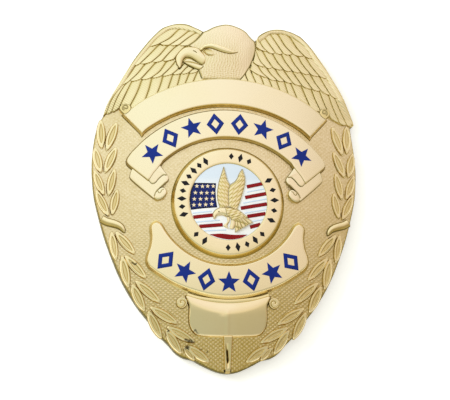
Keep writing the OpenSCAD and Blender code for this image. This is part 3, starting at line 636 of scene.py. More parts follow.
# Lines between neighbouring feathers, row by row from the top, each from root to tip
left_rows = [
    [[(-10.9, 37.2), (-12.5, 36.6), (-14.6, 35.0), (-16.4, 32.7)],
     [(-9.8, 37.1), (-12, 34.6), (-14.2, 33.3)], [(-7.6, 36.6), (-9.8, 34.6), (-12, 32.9)],
     [(-6.1, 36.1), (-8.1, 34.6), (-9.9, 33.0)], [(-5, 35.9), (-6.3, 34.1), (-7.9, 32.8)]],
    [[(-16.6, 32.9), (-18, 31), (-19.7, 28.3)], [(-14.6, 32.8), (-16.3, 30.8), (-18.5, 28.5)],
     [(-12.4, 32.9), (-14.2, 30.5), (-15.9, 28.9)], [(-10.3, 33.0), (-12, 31.2), (-13.7, 29.1)],
     [(-8.4, 32.9), (-10.1, 30.9), (-11.1, 29.5)], [(-6, 32.5), (-7.5, 30.5), (-8.5, 29.0)]],
    [[(-19.3, 28.5), (-20.6, 26.2), (-22.3, 23.7)], [(-17.3, 28.6), (-18.9, 26.3), (-20.7, 24.5)],
     [(-14.9, 29), (-16.4, 27.1), (-18.3, 24.8)], [(-12.7, 29.1), (-14.2, 26.6), (-16, 25.1)],
     [(-10.8, 29), (-12.1, 27.3), (-13.8, 25.5)], [(-9.0, 28.4), (-10.1, 27.2), (-11.5, 25.9)],
     [(-8.0, 28), (-8.9, 27), (-9.7, 26)], [(-6.4, 27.8), (-7.2, 27), (-8.0, 26.2)],
     [(-5.2, 27.6), (-5.6, 27), (-6.2, 26.4)]],
    [[(-22.2, 24), (-24.5, 20.3), (-25.6, 17.4)], [(-21.3, 24.4), (-23.3, 20.8), (-24.5, 17.7)],
     [(-20.1, 24.7), (-21.6, 21.4), (-22.9, 18.5)], [(-18, 25), (-19.2, 21.5), (-21.0, 17.9)],
     [(-15.9, 25.4), (-16.6, 22.4), (-17.4, 19.9)], [(-13.5, 25.8), (-14.2, 23.2), (-15.0, 21.0)],
     [(-11.4, 26), (-12.1, 23.8), (-12.7, 21.9)], [(-9.8, 26.3), (-10.2, 24.4), (-10.7, 22.7)],
     [(-7.8, 26.4), (-8.4, 24.8), (-9.0, 23.3)], [(-5.9, 27), (-6.6, 25.4), (-7.2, 23.9)],
     [(-4.6, 27), (-4.8, 25.4), (-5.0, 24.2)]],
]
right_rows = [
    [[(7.05, 34.05), (6.85, 33.5), (6.7, 33)], [(7.65, 34.4), (8.4, 32.9), (9.4, 31.8)],
     [(8.9, 35.4), (10, 33.5), (11.15, 31.7)], [(10.3, 36.2), (11.6, 33.9), (12.85, 31.7)],
     [(11.8, 36.7), (13.4, 33.6), (15.1, 31.7)], [(14.5, 36.4), (16.1, 33.3), (17.7, 31.5)],
     [(16.3, 35.5), (18.2, 33.8), (19.7, 31.1)]],
    [[(6.4, 33), (6.5, 31.2), (5.9, 29.2)], [(6.7, 32), (7.6, 29.5), (8.8, 28.0)],
     [(8.3, 32), (9.2, 30.0), (10.3, 28.1)], [(10.3, 32), (11.4, 29.6), (12.8, 27.7)],
     [(12.3, 32), (13.2, 29.8), (14.7, 27.6)], [(14.2, 32), (15.2, 29.5), (16.7, 27.4)],
     [(16.0, 32), (17.1, 29.5), (18.8, 27.2)], [(17.8, 31.8), (19.1, 29.2), (20.9, 26.9)],
     [(19.4, 31.7), (21.1, 29.6), (22.8, 26.6)]],
    [[(5.4, 29.2), (5.5, 28.2), (5.0, 27.4)], [(7.0, 28.6), (7.9, 26.8), (9.4, 25.3)],
     [(8.9, 28.4), (9.7, 26.7), (11.1, 25.1)], [(10.8, 28.4), (11.5, 26.6), (12.8, 25.0)],
     [(12.6, 28.2), (13.5, 26.5), (14.7, 24.7)], [(14.6, 28), (15.4, 26.4), (16.8, 24.2)],
     [(16.5, 27.9), (17.6, 25.9), (19.1, 23.6)], [(18.7, 27.6), (19.8, 25.2), (21.1, 23.4)],
     [(20.8, 27.3), (22.1, 24.6), (23.3, 22.5)], [(22.5, 27), (23.9, 24.8), (25.1, 21.9)]],
    [[(2.6, 26.4), (2.8, 25.4), (3.2, 24.2)], [(4.0, 27.4), (4.3, 25.8), (4.9, 24.1)],
     [(5.3, 27.8), (5.8, 26), (6.6, 23.9)], [(7.4, 26.4), (7.9, 25.0), (8.3, 23.5)],
     [(9.2, 25.8), (9.7, 24.4), (10.2, 22.8)], [(11, 25.6), (11.4, 23.9), (12, 21.9)],
     [(12.8, 25.3), (13.2, 23.4), (13.8, 21.1)], [(14.1, 25), (14.8, 23.1), (15.8, 20.2)],
     [(16.5, 24.6), (17.3, 22.2), (18.4, 19.3)], [(18.8, 24), (19.6, 21.3), (20.9, 18.3)],
     [(20.7, 23.6), (21.5, 21.0), (22.9, 17.6)], [(22.8, 22.9), (23.6, 20.0), (25.2, 16.4)],
     [(24, 22.6), (25.2, 19.6), (26.9, 16.1)], [(25, 22.3), (26.4, 19.6), (28.1, 16.2)]],
]
ROOT_LIFT = 0.92   # mm
TIP_LIFT = 1.16    # mm
BARB_PITCH = 0.46  # mm
BARB_SLANT = -52   # degrees
FEATHER_WALL = [(0.03, 0.97, 0.3), (0.07, 0.88, 0.45), (0.1, 0.74, 0.6)]
BLADE = np.array([0.0, 0.03, 0.07, 0.14, 0.26, 0.4, 0.55, 0.7, 0.83, 0.92, 0.97, 1.0])


def wing_fall(x, y):
    """Share of the full height that a wing keeps at x, y: it thins out by 65% towards the right wing's
    lower end and by 80% towards the left one's."""
    thinned = np.where(x < 0, 0.8, 0.65) * np.clip((21.5 - y) / 4.5, 0, 1)
    return 1 - thinned * np.clip((np.abs(x) - 20) / 3, 0, 1)


def feather(one_side, other_side_line, sag=0.45):
    """A blade between two lines, both from root to tip: straight between them at the root, rounded at the
    tip by a skewed bow of 3.4 sag v (1 - v)^1.3 mm at the share v across, crowned across, and rising to the
    tip. Its root runs half a millimetre under the row above. Shade is painted down its sides and deepens
    towards its root."""
    a, b = smooth_line(one_side, 24), smooth_line(other_side_line, 24)
    x, y = loft(a, b, 0.055 + 0.89 * BLADE)
    along = (b[-1] + a[-1] - b[0] - a[0]) / 2
    along /= np.hypot(*along)
    rounding = sag * (3.4 * BLADE * (1 - BLADE) ** 1.3)[:, None] * np.linspace(0, 1, 24)[None] ** 5
    rounding[:, 0] -= 0.5
    x, y = x + along[0] * rounding, y + along[1] * rounding
    rise = np.linspace(0, 1, 24)[None] ** 0.8
    crown_across = (1 - (2 * BLADE - 1) ** 6)[:, None]
    lift = ROOT_LIFT + (TIP_LIFT - ROOT_LIFT) * rise - 0.07 + 0.07 * crown_across
    tone = 0.35 * (1 - crown_across) + 0.1 * (1 - rise)
    return struck_form(x, y, lift * wing_fall(x, y), skirt=FEATHER_WALL, patina=tone)


def wing_base(outline, centre):
    """The ground under the feathers, which shows as the line between them, painted in shade."""
    shares = np.array([0, 0.3, 0.6, 0.85, 0.985, 0.997, 1.0])
    flat = centre + (outline - centre)[None] * shares[:, None, None]
    lifts = np.array([0.84] * 5 + [0.5, 0.0])[:, None] * wing_fall(flat[..., 0], flat[..., 1])
    return wheel(outline, centre, shares, lifts, patina=[0.6] * 3 + [0.5, 0.4, 0.35, 0.3])


def leading_bead(outer, inner):
    """The plain bead along the wing's leading edge: a loft from the outline inward, nearly flat, with an
    outer wall that runs down into the blank's edge. The line along its outer side is painted shade, darkest
    where it faces up."""
    outer, inner = smooth_line(outer, 120), smooth_line(inner, 120)
    shares = np.array([0.03, 0.09, 0.18, 0.28, 0.4, 0.85, 1.15, 1.4])
    lifts = np.array([1.2, 1.235, 1.24, 1.24, 1.24, 1.21, 1.14, 1.04])[:, None]
    x, y = loft(outer, inner, shares)
    facing_up = (outer - inner)[:, 1] / np.hypot(*(outer - inner).T)
    tones = np.array([0.95, 0.95, 0.85, 0.6, 0.05, 0, 0, 0.1])[:, None]
    tones = tones * np.clip(1.5 * facing_up, 0.25, 1)
    return struck_form(x, y, lifts * wing_fall(x, y), skirt=[(0.03, 0.85, 0.3), (0.04, 0.5, 0.6)],
                       sunk=-0.6, patina=tones)


left_bead_inner = [(-25.75, 17.5), (-24.7, 20.2), (-22.35, 23.7), (-19.8, 28.2), (-16.6, 32.7),
                   (-14.7, 35.0), (-12.6, 36.7), (-10.9, 37.2), (-9.2, 37.15), (-7.7, 36.75), (-6.2, 36.2),
                   (-5.2, 35.6)]
right_bead_inner = [(7.5, 34.4), (8.3, 35.1), (9.0, 35.6), (9.7, 36.2), (10.6, 36.65), (12, 36.8),
                    (13.1, 36.8), (14.0, 36.6), (15.6, 36.0), (17.4, 34.7), (19, 32.7), (19.8, 31.2),
                    (22.8, 26.7), (25.2, 21.9), (26.8, 18.7), (27.6, 16.6)]
left_foot = [(-21.4, 18.6), (-22.8, 19.2), (-24.3, 18.5), (-25.5, 17.9), (-26.1, 17.0)]
left_base = np.vstack([smooth_line(left_wing_top, 90), even_line([(-4.8, 36.1), (-4.8, 23.8)], 20)[1:],
                       arc_line((0, -9.9), 33.5, 98, 126, 40), even_line(left_foot, 20)])
right_root = [(7.4, 35.3), (6.9, 34.4), (5.2, 23.8)]
right_foot = [(22.9, 17.4), (24.4, 16.4), (25.7, 15.9), (27.0, 15.95), (28.2, 15.8)]
right_base = np.vstack([smooth_line(right_wing_top, 90)[::-1], even_line(right_root, 20)[1:],
                        arc_line((0, -9.9), 33.5, 81, 53, 40), even_line(right_foot, 20)])
left_wing = [feather(a, b) for row in left_rows for a, b in zip(row, row[1:])]
right_wing = [feather(a, b) for row in right_rows for a, b in zip(row, row[1:])]
left_wing += [leading_bead(left_wing_top, left_bead_inner), wing_base(left_base, (-12, 27))]
right_wing += [leading_bead(right_wing_top, right_bead_inner), wing_base(right_base, (14, 27.5))]


def barbed_gilt():
    """The feathers: bright gold plate over fine barbs, cut slanting across each blade, with shade painted
    into the barbs. They look brushed, paler on the crests and olive in the painted shade of the lines
    between the feathers."""
    made, tree, shader, place, bump, ramp = gilt_finish(
        "barbed_gilt", ("#FEF0C6", "#D2BC70", "#847640"), 0.22, 0.45, 0.8, 0.006)
    turned = add_node(tree, "ShaderNodeMapping", {
        "Vector": place, "Rotation": (0, 0, np.radians(BARB_SLANT)), "Scale": (1 / MM,) * 3})
    barbs = add_node(tree, "ShaderNodeTexWave", {
        "Vector": turned.outputs[0], "Scale": BAND / BARB_PITCH, "Distortion": 1.2, "Detail": 1.0})
    comb = add_node(tree, "ShaderNodeBump", {
        "Height": barbs.outputs["Fac"], "Strength": 1.0, "Distance": 0.03 * MM, "Normal": bump.outputs[0]})
    shade = add_node(tree, "ShaderNodeMapRange", {
        "Value": barbs.outputs["Fac"], "From Min": 0.0, "From Max": 0.6, "To Min": 0.11, "To Max": 0.0})
    deepen(tree, ramp, shade.outputs[0])
    tree.links.new(comb.outputs[0], shader.inputs["Normal"])
    return made


barbed = barbed_gilt()
piece("left_wing", left_wing, barbed)
piece("right_wing", right_wing, barbed)


# Eagle's head
# The head looks to the left, its beak over the left wing: a domed skull and neck covered in fine wavy
# feathers, a sharp brow over a narrow eye, and a smooth hooked beak, all struck in one with the badge.

HEAD_MIDDLE = np.array([0.6, 30.4])
WAVE_PITCH = 0.62    # mm between the wavy feathers
STROKE_PITCH = 0.42  # mm between the fine strokes over them
head_left = [(-5.3, 23.6), (-5.6, 25.3), (-5.95, 26.7), (-5.3, 28.0), (-4.9, 29.6), (-5.3, 31),
             (-6.0, 31.85), (-7.8, 32.6), (-7.9, 32.85), (-6.4, 34.05), (-5.3, 35.35), (-4.85, 36.0)]
head_right = [(6.6, 34.2), (6.75, 32.6), (6.4, 30.8), (5.5, 28.4), (4.8, 27.1), (3.85, 25.6), (3.1, 24.6),
              (2.7, 23.6)]
head_edge = np.vstack([smooth_line(head_left, 90), smooth_line(crown, 90)[1:],
                       smooth_line(head_right, 60)[1:], even_line([(2.7, 23.6), (-5.3, 23.6)], 40)[1:-1]])
head_angles = np.arctan2(*(head_edge - HEAD_MIDDLE).T[::-1])
head_reach = np.hypot(*(head_edge - HEAD_MIDDLE).T)
even_angles = np.linspace(-np.pi, np.pi, 361)[:-1]
even_reach = np.interp(even_angles, head_angles[np.argsort(head_angles)],
                       head_reach[np.argsort(head_angles)], period=2 * np.pi)
even_reach = sum(np.roll(even_reach, shift) for shift in range(-10, 11)) / 21


def head_lift(x, y):
    """Lift of the head at x, y: 1.2 mm at its outline, evened out over 20 degrees, and up to 0.8 mm more
    towards its middle, less down the neck; just above the scroll it dips under the scroll's edge."""
    direction = np.arctan2(y - HEAD_MIDDLE[1], x - HEAD_MIDDLE[0])
    reach = np.interp(direction, even_angles, even_reach, period=2 * np.pi)
    share = np.clip(np.hypot(x - HEAD_MIDDLE[0], y - HEAD_MIDDLE[1]) / reach, 0, 1)
    down = np.clip((y - 24.0) / 7.5, 0, 1)
    swell = 0.12 + 0.88 * down * down * (3 - 2 * down)
    under = np.clip((24.85 - y) / 0.55, 0, 1)
    return 1.2 + 0.8 * swell * (1 - share**3) ** 0.9 - 0.5 * under


def head_form():
    """Rings from the middle out. Wavy feathers run down the neck, sin(2 pi (x - 0.14 y + bend) / pitch)
    about 0.05 mm high, with short ripples across them low down, and fade on the crown; shade is painted into
    their hollows and on the neck just above the scroll. A dark line of painted shade runs round it."""
    shares = np.concatenate([np.linspace(0, 0.935, 76), [0.95, 0.965, 0.98, 0.992, 1.0]])
    flat = HEAD_MIDDLE + (head_edge - HEAD_MIDDLE)[None] * shares[:, None, None]
    x, y = flat[..., 0], flat[..., 1]
    bend = 0.16 * np.sin(1.7 * y + 0.5 * x) + 0.07 * np.sin(5.1 * y - 1.1 * x)
    comb = np.sin(2 * np.pi * (x - 0.14 * (y - 30) + bend) / WAVE_PITCH)
    breaks = np.sin(2 * np.pi * (y + 0.4 * np.sin(2.3 * x)) / 0.9)
    fade = np.clip((37.5 - y) / 7, 0.2, 1) * np.clip((5.2 - x) / 3, 0.15, 1)
    fade *= np.clip((1 - shares[:, None]) * 8, 0, 1)
    strokes = comb * (0.55 + 0.45 * breaks)
    ripples = np.sin(2 * np.pi * (y + 0.1 * np.sin(3 * x)) / 0.42) * np.clip((28 - y) / 2, 0, 1)
    lift = head_lift(x, y) + (0.023 * strokes + 0.018 * ripples) * fade
    lift[-2:] -= np.array([[0.02], [0.06]])
    tone = (0.18 - 0.16 * strokes - 0.14 * ripples) * fade + 0.25 * np.clip((25.6 - y) / 1.2, 0, 1)
    tone[-5:] += np.array([[0.1], [0.6], [0.85], [0.9], [0.9]])
    tone = np.vstack([np.minimum(tone, 1), np.full((2, tone.shape[1]), 0.5)])
    rows = list(lift) + [np.minimum(lift[-1], 1.0), np.full(len(head_edge), 0.3)]
    return wheel(head_edge, HEAD_MIDDLE, np.concatenate([shares, [1.0, 1.0]]), rows, patina=tone, sunk=-0.5)


beak_top = smooth_line([(-4.47, 29.3), (-4.62, 30.2), (-5.02, 30.95), (-5.5, 31.5), (-6.0, 31.88),
                        (-6.66, 32.14), (-7.61, 32.23), (-8.42, 32.19), (-9.1, 31.91), (-9.92, 31.15),
                        (-10.54, 30.24), (-10.79, 29.49), (-10.71, 28.58), (-10.45, 27.83), (-10.06, 27.2)],
                       70)
beak_low = smooth_line([(-4.45, 29.1), (-4.6, 28.35), (-4.95, 28.02), (-5.3, 27.99), (-6.07, 28.45),
                        (-6.86, 29.12), (-7.8, 29.71), (-8.6, 29.76), (-9.22, 29.18), (-9.5, 28.28),
                        (-9.72, 27.53), (-10.06, 27.2)], 70)
jaw_top = smooth_line([(-5.0, 27.85), (-5.37, 27.9), (-6.3, 28.21), (-7.24, 28.43), (-8.18, 28.55),
                       (-9.06, 28.65)], 30)
jaw_low = smooth_line([(-5.2, 27.2), (-5.7, 26.85), (-6.59, 27.1), (-7.66, 27.7), (-8.46, 28.15),
                       (-9.06, 28.65)], 30)
tongue_top = smooth_line([(-5.4, 28.0), (-6.84, 28.9), (-7.77, 29.4), (-8.58, 29.35), (-9.1, 28.75)], 24)
tongue_low = smooth_line([(-5.4, 27.95), (-6.8, 28.5), (-7.7, 28.7), (-8.5, 28.75), (-9.1, 28.7)], 24)
# Side wall of the beak: a dark line round the face, and a steep drop
OUTLINED = [(0.04, 0.985, 0.7), (0.15, 0.96, 0.9), (0.17, 0.4, 0.9)]


def blade_form(low, high, base, crest, power=0.5, edge=8, under=0.0, skirt=OUTLINED):
    """A rounded form between two lines: across it the lift is the base plus the crest times (1 - v squared)
    to a power, with v from -1 to 1 between the lines; the base and the crest may change along them. The
    painted shade is 0.8 times v to the power edge, darkest along both lines, and on the first line's side it
    deepens by under times the square root of -v."""
    v = np.sin(np.linspace(-np.pi / 2, np.pi / 2, 21))
    x, y = loft(low, high, (v + 1) / 2)
    crest = np.broadcast_to(crest, len(low))[None]
    lift = np.broadcast_to(base, len(low))[None] + crest * ((1 - v**2) ** power)[:, None]
    deeper = np.broadcast_to(under, len(low)) * np.sqrt(np.clip(-v, 0, 1))[:, None]
    tones = 0.8 * (v**edge)[:, None] + deeper
    return struck_form(x, y, lift, skirt=skirt, patina=np.clip(tones, 0, 1))


along_beak = np.linspace(0, 1, 70)
beak_crest = (0.5 - 0.3 * along_beak**3) * np.clip(along_beak * 12, 0.3, 1)
beak = blade_form(beak_low, beak_top, 1.3, beak_crest, 0.45, 20, under=0.28)
jaw = blade_form(jaw_low, jaw_top, 1.2, np.linspace(0.3, 0.12, 30), 0.45, 20, under=0.3)
tongue = blade_form(tongue_low, tongue_top, 1.2, 0.12, 0.5, 12)
# The mouth's floor between beak and jaw is painted half in shade
mouth_edge = even_line([(-5.0, 28.3), (-6.5, 29.2), (-7.8, 29.75), (-8.8, 29.7), (-9.25, 29.0),
                        (-9.06, 28.55), (-7, 27.6), (-5.2, 27.3), (-5.0, 28.3)], 61)[:-1]
mouth = wheel(mouth_edge, mouth_edge.mean(0), [0, 0.5, 1.0], [1.21, 1.21, 1.21], patina=0.55)
# The nostril is a thin bead painted dark, standing for the shade in its hollow
nostril = ridge(smooth_line([(-7.15, 31.2), (-6.8, 31.1), (-6.35, 30.72)], 16), 0.09, 0.02, base=1.79,
                patina=0.9)
brow_top = smooth_line([(-5.76, 31.52), (-4.93, 32.37), (-3.56, 32.78), (-2.2, 32.66), (-0.85, 32.21),
                        (0.23, 31.79), (1.31, 31.28), (2.6, 31.05)], 60)
brow_low = smooth_line([(-5.76, 31.4), (-5.2, 31.3), (-4.53, 31.77), (-3.31, 31.8), (-2.23, 31.4),
                        (-1.16, 30.98), (0.2, 30.64), (1.56, 30.62), (2.6, 30.95)], 60)
along_brow = np.linspace(0, 1, 60)
brow_base = head_lift(*((brow_top + brow_low) / 2).T) + 0.05
brow_crest = 0.1 + 0.45 * np.sin(np.pi * along_brow**0.8) ** 0.7
# Shadow is painted under the brow, deepest towards the beak
brow = blade_form(brow_low, brow_top, brow_base, brow_crest, 0.5, 14, under=0.5 - 0.3 * along_brow,
                  skirt=[(0.05, 0.97, 0.7), (0.15, 0.9, 0.8)])
EYE = np.array([-3.35, 30.95])
eye_edge = even_line([(-4.94, 31.3), (-4.55, 30.74), (-4.02, 30.29), (-3.08, 30.05), (-2.25, 30.33),
                      (-1.63, 30.95), (-2.36, 31.4), (-3.3, 31.78), (-4.39, 31.68), (-4.94, 31.3)], 73)[:-1]
eye_shares = np.array([0, 0.3, 0.6, 0.8, 0.88, 0.96, 1.03, 1.1])
eye_lifts = head_lift(*EYE[:, None])[0] + np.array([0.1, 0.09, 0.06, 0.01, -0.04, 0.06, 0.05, -0.1])
eye_shade = np.clip(0.25 + 0.5 * eye_shares[:, None] * (eye_edge - EYE)[None, :, 1], 0.1, 0.6)
eye_shade[4] = 1.0
eye_shade[-2:] = 0.5
eye = wheel(eye_edge, EYE, eye_shares, eye_lifts, patina=eye_shade)
# The throat's lines are low beads painted half in shade
throat_lines = [[(-5.5, 26.7), (-5.35, 26.0), (-5.2, 25.3)], [(-4.9, 27.6), (-4.6, 26.9), (-4.5, 26.0)]]
throat = [ridge(smooth_line(line, 24), 0.07, 0.02, base=1.24, patina=0.4) for line in throat_lines]


def combed_gilt():
    """The head: bright gold plate over hair-fine strokes that run down the neck and wander a little, so it
    looks soft and silky."""
    made, tree, shader, place, bump, _ = gilt_finish(
        "combed_gilt", ("#FDECCA", "#D8C284", "#76704C"), 0.24, 0.45, 0.5, 0.004)
    scaled = add_node(tree, "ShaderNodeMapping", {"Vector": place, "Scale": (1 / MM,) * 3})
    strokes = add_node(tree, "ShaderNodeTexWave", {
        "Vector": scaled.outputs[0], "Scale": BAND / STROKE_PITCH, "Distortion": 3.0, "Detail": 2.0,
        "Detail Scale": 0.8})
    comb = add_node(tree, "ShaderNodeBump", {
        "Height": strokes.outputs["Fac"], "Strength": 1.0, "Distance": 0.01 * MM, "Normal": bump.outputs[0]})
    tree.links.new(comb.outputs[0], shader.inputs["Normal"])
    return made


# Beak gilt is satin; the beak's round form reads from bright above to olive below, where shade is painted
# along its lower side
beak_gilt, *_ = gilt_finish("beak_gilt", ("#FBECC4", "#D8C07A", "#76662C"), 0.22, 0.4, 1.2, 0.003)
piece("eagle_head", [head_form()], combed_gilt())
piece("eagle_beak_and_brow", [beak, mouth, jaw, tongue, nostril, brow, eye] + throat, beak_gilt)


# Laurel wreath
# Forty struck leaves in two sprays, each with a bright flat rim round a sunk lens: pairs climb from a plain
# band that ties the spray, and the others hang from the band down to the badge's tip.

# The right spray's leaves: base, tip, and half the width in mm
sprays = [((26.6, 9.3), (26.8, 15.9), 0.93), ((25.6, 8.8), (23.4, 15.3), 1.0),
          ((26.7, 3.9), (28.0, 9.6), 0.93), ((25.9, 3.85), (23.5, 9.6), 1.0),
          ((26.0, -1.0), (28.05, 4.5), 0.85), ((25.1, -1.2), (23.8, 4.8), 0.92),
          ((24.95, -5.6), (27.65, 0.2), 0.88), ((24.3, -5.4), (23.2, 0.3), 0.9),
          ((24.4, -8.7), (23.3, -14.9), 0.85), ((23.6, -8.8), (19.4, -13.8), 0.97),
          ((22.2, -13.9), (20.7, -20.6), 0.97), ((21.6, -13.9), (17.0, -18.95), 0.97),
          ((20.1, -19.8), (17.3, -25.6), 0.97), ((19.4, -19.2), (14.0, -24.0), 0.97),
          ((16.7, -25.4), (13.8, -31.2), 0.92), ((16.3, -24.7), (10.4, -28.3), 0.97),
          ((13.0, -29.3), (9.7, -34.3), 0.92), ((12.8, -28.8), (6.8, -32.1), 0.97),
          ((8.6, -32.7), (3.8, -36.1), 0.97)]


def leaf(base, tip, half_width, height=0.45):
    """A leaf from its base to its tip, pointed at both ends. Its half width is the given one times
    (4u(1 - u))^0.75 at the share u along it. Across it the lift climbs steeply to a flat rim, then drops
    into a lens over its middle. Shade is painted round its edge, along the lens's rim and inside the lens."""
    base, tip = np.asarray(base, float), np.asarray(tip, float)
    u = np.linspace(0, 1, 40)
    v = np.array([-1, -0.95, -0.88, -0.75, -0.6, -0.48, -0.42, -0.37, -0.3, -0.2, -0.08, 0.08, 0.2, 0.3,
                  0.37, 0.42, 0.48, 0.6, 0.75, 0.88, 0.95, 1])
    along = (tip - base) / np.hypot(*(tip - base))
    side = np.array([-along[1], along[0]])
    half = half_width * (4 * u * (1 - u)) ** 0.75
    flat = base + u[None, :, None] * (tip - base) + (v[:, None] * half[None])[..., None] * side
    across = np.abs(v)[:, None]
    lens = 0.38 * np.sqrt(np.clip(1 - ((u - 0.52) / 0.33) ** 2, 0, 1))[None]
    within = np.clip((lens - across) / 0.1, 0, 1)
    hollow_floor = within * (0.7 + 0.3 * np.clip(across / np.maximum(lens, 0.05), 0, 1) ** 2)
    ends = np.clip(np.sin(np.pi * u) * 6, 0.5, 1)[None]
    lift = height * ends * np.clip((1.1 - across) / 0.3, 0.35, 1) - 0.3 * height * hollow_floor
    line = np.exp(-(((across - lens) / 0.07) ** 2)) * (lens > 0.05)
    tone = np.clip(0.6 * (across > 0.97) + 0.2 * (across > 0.9) + 0.7 * line + 0.22 * within, 0, 1)
    return struck_form(flat[..., 0], flat[..., 1], lift, patina=tone,
                       skirt=[(0.04, 0.8, 0.45), (0.1, 0.4, 0.55), (0.18, 0.28, 0.15)])


leaves = [leaf(*blade) for blade in sprays]
leaves.append(leaf((9.3, -33.0), (6.9, -35.6), 0.6))
band_path = smooth_line([(26.35, -6.1), (25.3, -6.7), (24, -7.1), (22.9, -7.55), (22.2, -8.1),
                         (21.65, -9.0)], 40)
band_width = 0.74 * np.sqrt(np.clip(1.02 - np.linspace(0, 1, 40) ** 3, 0, 1))
band_ahead = np.gradient(band_path, axis=0)
band_side = np.column_stack([-band_ahead[:, 1], band_ahead[:, 0]]) / np.hypot(*band_ahead.T)[:, None]
band_side *= band_width[:, None]
# The band's lower side is painted in shade
bands = [blade_form(band_path + band_side, band_path - band_side, 0.3, 0.42 * band_width / 0.74, 0.5, 12,
                    under=0.5)]
# Laurel gilt is satin with a fine grain: bright on the leaves' rims, a soft deeper gold of painted shade
# inside them
laurel_gilt, *_ = gilt_finish("laurel_gilt", ("#FDECC0", "#CFB266", "#7C6C34"), 0.24, 0.45, 0.6, 0.005,
                              BLOTS)
piece("laurel", mirrored(leaves + bands), laurel_gilt)


# Seal
# A round struck disc glued in a seat in the blank: a polished ring with a steep gold wall, a sunk picture
# with a gilt bird standing in it, and small black marks in the ring.

SEAL = np.array([0, -2.8])  # mm, its middle on the badge
PICTURE = 8.25              # mm, radius


def lathe(profile, count=180):
    """A ring about the seal's middle: a closed profile of (radius, lift, painted shade) carried round a
    circle.
    """
    radius, lift, tone = np.array(profile).T[:, :, None]
    a = np.linspace(0, 2 * np.pi, count, endpoint=False)[None]
    x, y = SEAL[0] + radius * np.cos(a), SEAL[1] + radius * np.sin(a)
    points = np.dstack([x, y, field_height(x, y, lift)]).reshape(-1, 3)
    faces = grid_faces(len(profile), count, closed_rows=True, closed_columns=True)
    return points, faces, np.broadcast_to(tone, x.shape).ravel()


ring = lathe([(8.22, SUNK, 0.5), (8.22, 1.02, 0.9), (8.26, 1.1, 0.6), (8.33, 1.14, 0.1), (8.8, 1.15, 0),
              (10, 1.15, 0), (11.1, 1.14, 0), (11.28, 1.12, 0.05), (11.36, 1.06, 0.15), (11.42, 0.95, 0.4),
              (11.76, 0.32, 0.6), (11.86, 0.14, 0.7), (11.96, 0.04, 0.85), (12.06, 0.0, 0.6),
              (12.06, SUNK, 0.5)])


def on_seal(points):
    """Points given from the seal's middle, placed on the badge."""
    return np.asarray(points, float) + SEAL


# The bird's side wall: a dark line of painted shade, a bright wire that stands proud of it, and the drop
# outside
WIRE = [(0.02, 0.98, 0.9), (0.06, 1.0, 0.8), (0.09, 1.1, 0.2), (0.16, 1.12, 0.0), (0.19, 0.95, 0.6)]


def feathered(low, high, crest, pitch, slant, columns=3):
    """A rounded form between two lines, cut into staggered feathers: columns side by side, each cut across
    by abs(sin(pi ((y + slant x) / pitch + n / 2))) in column n, with shade painted into the cuts. A dark
    line of painted shade and a bare gilt wire run round it."""
    low, high = smooth_line(low, 90), smooth_line(high, 90)
    v = np.sin(np.linspace(-np.pi / 2, np.pi / 2, 41))
    x, y = loft(low, high, (v + 1) / 2)
    column = columns * (v + 1)[:, None] / 2
    between_columns = np.abs(np.sin(np.pi * column))
    stagger = 0.5 * np.floor(np.clip(column, 0, columns - 0.01))
    across = np.abs(np.sin(np.pi * ((y + slant * x) / pitch + stagger)))
    cut = np.minimum(across, 0.25 + between_columns) ** 0.5
    rounded = ((1 - v**2) ** 0.35)[:, None]
    lift = 1.0 + crest * rounded * (0.6 + 0.4 * cut)
    tones = np.clip(0.08 + 0.9 * (v**16)[:, None] + 0.9 * (1 - cut) ** 1.4, 0, 1)
    return struck_form(x, y, lift, skirt=WIRE, patina=tones)


wing_middle = [(0.05, -0.99), (0, 0.85), (0.01, 2.39)]
left_outer = [(-1.76, -1.4), (-2.05, -0.72), (-2.3, 0.2), (-2.38, 1.58), (-2.22, 2.98), (-1.93, 4.38),
              (-1.46, 5.79), (-0.99, 7.3)]
left_inner = wing_middle + [(0.28, 3.5), (-0.24, 4.56), (-0.6, 5.96), (-0.95, 7.3)]
right_inner = wing_middle + [(0.4, 3.5), (1.25, 4.13), (1.87, 4.92), (2.34, 6.03), (2.95, 6.95)]
right_outer = [(1.79, -1.72), (2.26, -0.49), (2.73, 0.91), (3.2, 2.47), (3.53, 4.03), (3.48, 5.44),
               (3.0, 6.95)]
left_raised = feathered(on_seal(left_outer), on_seal(left_inner), 0.22, 0.85, 0.8)
right_raised = feathered(on_seal(right_inner), on_seal(right_outer), 0.22, 0.85, -0.8)
fan_low = smooth_line([(1.49, -4.2), (1.33, -5.39), (1.37, -6.45)], 9)
fan_high = smooth_line([(3.3, -3.45), (4.2, -3.75), (5.0, -4.3)], 9)
bird_tail = [feathered(on_seal(fan_low * (1 - a) + fan_high * a), on_seal(fan_low * (1 - b) + fan_high * b),
                       0.22, 1.3, 0.3, 1)
             for a, b in ((0, 0.2), (0.2, 0.4), (0.4, 0.6), (0.6, 0.8), (0.8, 1))]
belly = [(-0.5, -3.25), (0.26, -3.43), (0.71, -4.15), (1.61, -4.3), (3.05, -3.85), (3.85, -3.4)]
back = [(-1.9, -1.5), (-0.17, -1.25), (1.79, -1.7), (2.84, -2.47), (3.5, -3.0), (3.9, -3.3)]
bird_body = feathered(on_seal(belly), on_seal(back), 0.28, 0.85, -0.6)
chin = smooth_line([(-0.34, -3.29), (-1.09, -3.0), (-1.84, -2.93), (-2.52, -3.17), (-2.75, -3.48),
                    (-3.05, -3.68)], 24)
brow_line = smooth_line([(-0.9, -1.3), (-1.76, -1.4), (-2.59, -1.8), (-3.11, -2.34), (-3.31, -3.02),
                         (-3.1, -3.68)], 24)
bird_head = blade_form(on_seal(chin), on_seal(brow_line), 1.0, np.linspace(0.42, 0.25, 24), 0.35, 16,
                       skirt=WIRE)
